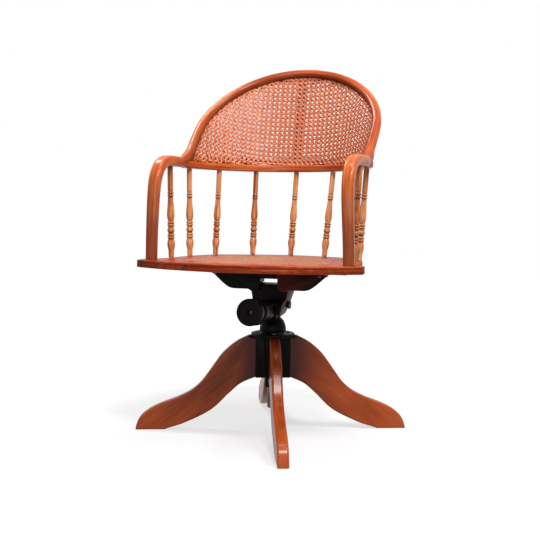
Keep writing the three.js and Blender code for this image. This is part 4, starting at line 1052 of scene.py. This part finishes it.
def up_the_back(u, v):
    """Which of the lines up the back a flat point lies on, and what share of the way up it."""
    spot = np.stack([u, v], -1)[:, None] - flat_foot
    side = flat_rise[:, 0] * spot[..., 1] - flat_rise[:, 1] * spot[..., 0]
    after = np.clip((side < 0).sum(1), 1, len(flat_foot) - 1)
    row = np.arange(len(u))
    before_side, after_side = side[row, after - 1], side[row, after]
    part = np.clip(before_side / (before_side - after_side), 0, 1)
    line = after - 1 + part
    base = flat_foot[after - 1] * (1 - part)[:, None] + flat_foot[after] * part[:, None]
    rise = flat_rise[after - 1] * (1 - part)[:, None] + flat_rise[after] * part[:, None]
    share = ((np.stack([u, v], -1) - base) * rise).sum(1) / (rise**2).sum(1)
    return line, share


def on_back(u, v, lift):
    """A point of the back: across and up in the flat sheet, lifted to the front, and its normal."""
    def bent_point(u, v):
        line, share = up_the_back(u, v)
        which = np.arange(len(foot_points))
        foot, head = (
            np.stack([np.interp(line, which, points[:, i]) for i in range(3)], -1)
            for points in (foot_points, head_points)
        )
        return foot + (head - foot) * share[:, None]

    step = 0.002
    right = bent_point(u + step, v) - bent_point(u - step, v)
    up = bent_point(u, v + step) - bent_point(u, v - step)
    normal = unit(np.cross(right, up))
    return bent_point(u, v) + normal * np.asarray(lift)[:, None], normal


def woven(inside, u_reach, v_low, v_high):
    """The strands of a six-way weave as lines of across, up and lift, cut to where they are inside."""
    lines = []

    def keep(u, v, lift):
        u, v = u * mesh_across, v * mesh_up
        held = inside(u, v)
        starts = np.flatnonzero(np.diff(np.concatenate([[0], held.astype(int)])) == 1)
        stops = np.flatnonzero(np.diff(np.concatenate([held.astype(int), [0]])) == -1)
        for a, b in zip(starts, stops):
            if b > a:
                lines.append((u[a:b + 1], v[a:b + 1], lift[a:b + 1]))

    columns = int(u_reach / mesh_across) + 1
    lowest, highest = math.floor(v_low / mesh_up), math.ceil(v_high / mesh_up)
    upright, level = np.arange(lowest, highest + 0.25, 0.5), np.arange(-columns, columns + 0.25, 0.5)
    for column in range(-columns, columns + 1):
        for side in (-1, 1):
            across = np.full(len(upright), column + side * pair_half / mesh_across)
            keep(across, upright, side * pair_lift * np.cos(upright * math.pi))
    for row in range(lowest, highest + 1):
        for side in (-1, 1):
            up = np.full(len(level), row + side * pair_half / mesh_up)
            keep(level, up, side * pair_lift * np.sin(level * math.pi + 0.6))
    for slant in (-1, 1):
        for row in range(lowest - columns, highest + columns):
            wave = np.where(np.round(level * 2).astype(int) % 2 == 0, slant, -slant)
            keep(level, slant * level + (row + 0.5), wave * slant_lift)
    return lines


def in_back(u, v):
    """Whether flat points lie on the sheet of the back."""
    line, share = up_the_back(u, v)
    return (share > 0) & (share < 1) & (line > 0) & (line < len(foot_points) - 1)


flat_strands = woven(in_back, flat_head[-1, 0], flat_foot[-1, 1], tall)
strands, faces = zip(*(on_back(*flat) for flat in flat_strands))
weave = bars("woven_back", strands, np.vstack(faces), material=back_cane, **strand)
fit(weave, "seat", "cane", "back_cane")

# Behind the cane: one upright slat down the middle and a rebate lip all round, which stop the light
# through the holes in front of them. Their colour is painted shade: near-black for the slat and the
# lip under the hoop, dark brown for the lip along the rail.
# Painted shade: near-black wood for the slat and the lip under the hoop, dark brown for the lip along the
# rail.
shade_black_wood = wood("painted_shade_wood", (30, 12, 7), (52, 24, 13), (74, 36, 20), 0.3)
foot_shade_wood = wood("foot_lip_shade_wood", (70, 24, 12), (104, 42, 22), (136, 62, 34), 0.3)
slat_half, slat_thick, lip_wide, foot_lip_wide, lip_thick = 0.0115, 0.005, 0.0095, 0.02, 0.003
lip_gap, behind = 0.0005, 0.0026


def sheet(name, rows, thick, material):
    """A thin wooden sheet behind the cane, from rows of flat points across it."""
    front = [on_back(*row.T, np.full(len(row), -behind))[0] for row in rows]
    back = [on_back(*row.T, np.full(len(row), -behind - thick))[0] for row in rows]
    mesh = lofted([np.vstack([f, b[::-1]]) for f, b in zip(front, back)])
    smooth(mesh)
    lay_grain(mesh, (0, 0.7, 0.7), (1, 0, 0))
    return show(name, mesh, material)


u = np.linspace(-slat_half, slat_half, 7)
rows = [np.column_stack([u, np.full(7, v)]) for v in np.linspace(0.001, tall - 0.002, 12)]
slat = sheet("upright_slat", rows, slat_thick, shade_black_wood)
fit(slat, "seat", "arm_wood", "back_slat")
head_edge, foot_edge = flat_head[4:-4:6], flat_foot[4:-4:6]
along = unit(np.gradient(head_edge, axis=0))
inward = np.stack([along[:, 1], -along[:, 0]], 1)
lips = {
    "head_lip": (head_edge, inward, lip_wide, shade_black_wood),
    "foot_lip": (foot_edge, np.array([0, 1]), foot_lip_wide, foot_shade_wood),
}
for name, (edge, way, reach, material) in lips.items():
    lip = sheet(name, np.stack([edge + way * lip_gap, edge + way * reach], 1), lip_thick, material)
    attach(lip, "seat")

# Seat cane: the same weave laid flat in the opening, with a round spline pressed in round its edge.
seat_cane = cane("seat_cane", (116, 58, 26), (168, 98, 50), (198, 130, 76), 0.4)
cane_level, spline_level, spline_thick, spline_wide = seat_top - 0.0018, seat_top - 0.0015, 0.004, 0.004
sheet_front, sheet_deep, sheet_half = -0.26, 0.4, 0.2
angles = np.linspace(math.pi, -math.pi, 721)
cane_edge = at_angles(seat_opening(hair + spline_wide / 2), angles)
reach_of = np.linalg.norm(cane_edge - middle, axis=1)


def in_seat(u, v):
    """Whether flat points lie in the seat's opening."""
    spot = np.stack([u, v + sheet_front], 1) - middle
    return np.hypot(*spot.T) < np.interp(np.arctan2(spot[:, 1], spot[:, 0]), angles[::-1], reach_of[::-1])


flat_strands = woven(in_seat, sheet_half, 0, sheet_deep)
strands = [np.column_stack([u, v + sheet_front, cane_level + lift]) for u, v, lift in flat_strands]
weave = bars("woven_seat", strands, (0, 0, 1), material=seat_cane, **strand)
fit(weave, "seat", "cane", "seat_cane")
rim = at_height(cane_edge, spline_level)[::4]
spline = bars("seat_edge_spline", [rim], (0, 0, 1), spline_thick, spline_wide, 0.0018, 3, seat_cane)
smooth(spline.data)
fit(spline, "seat", "cane", "seat_spline")
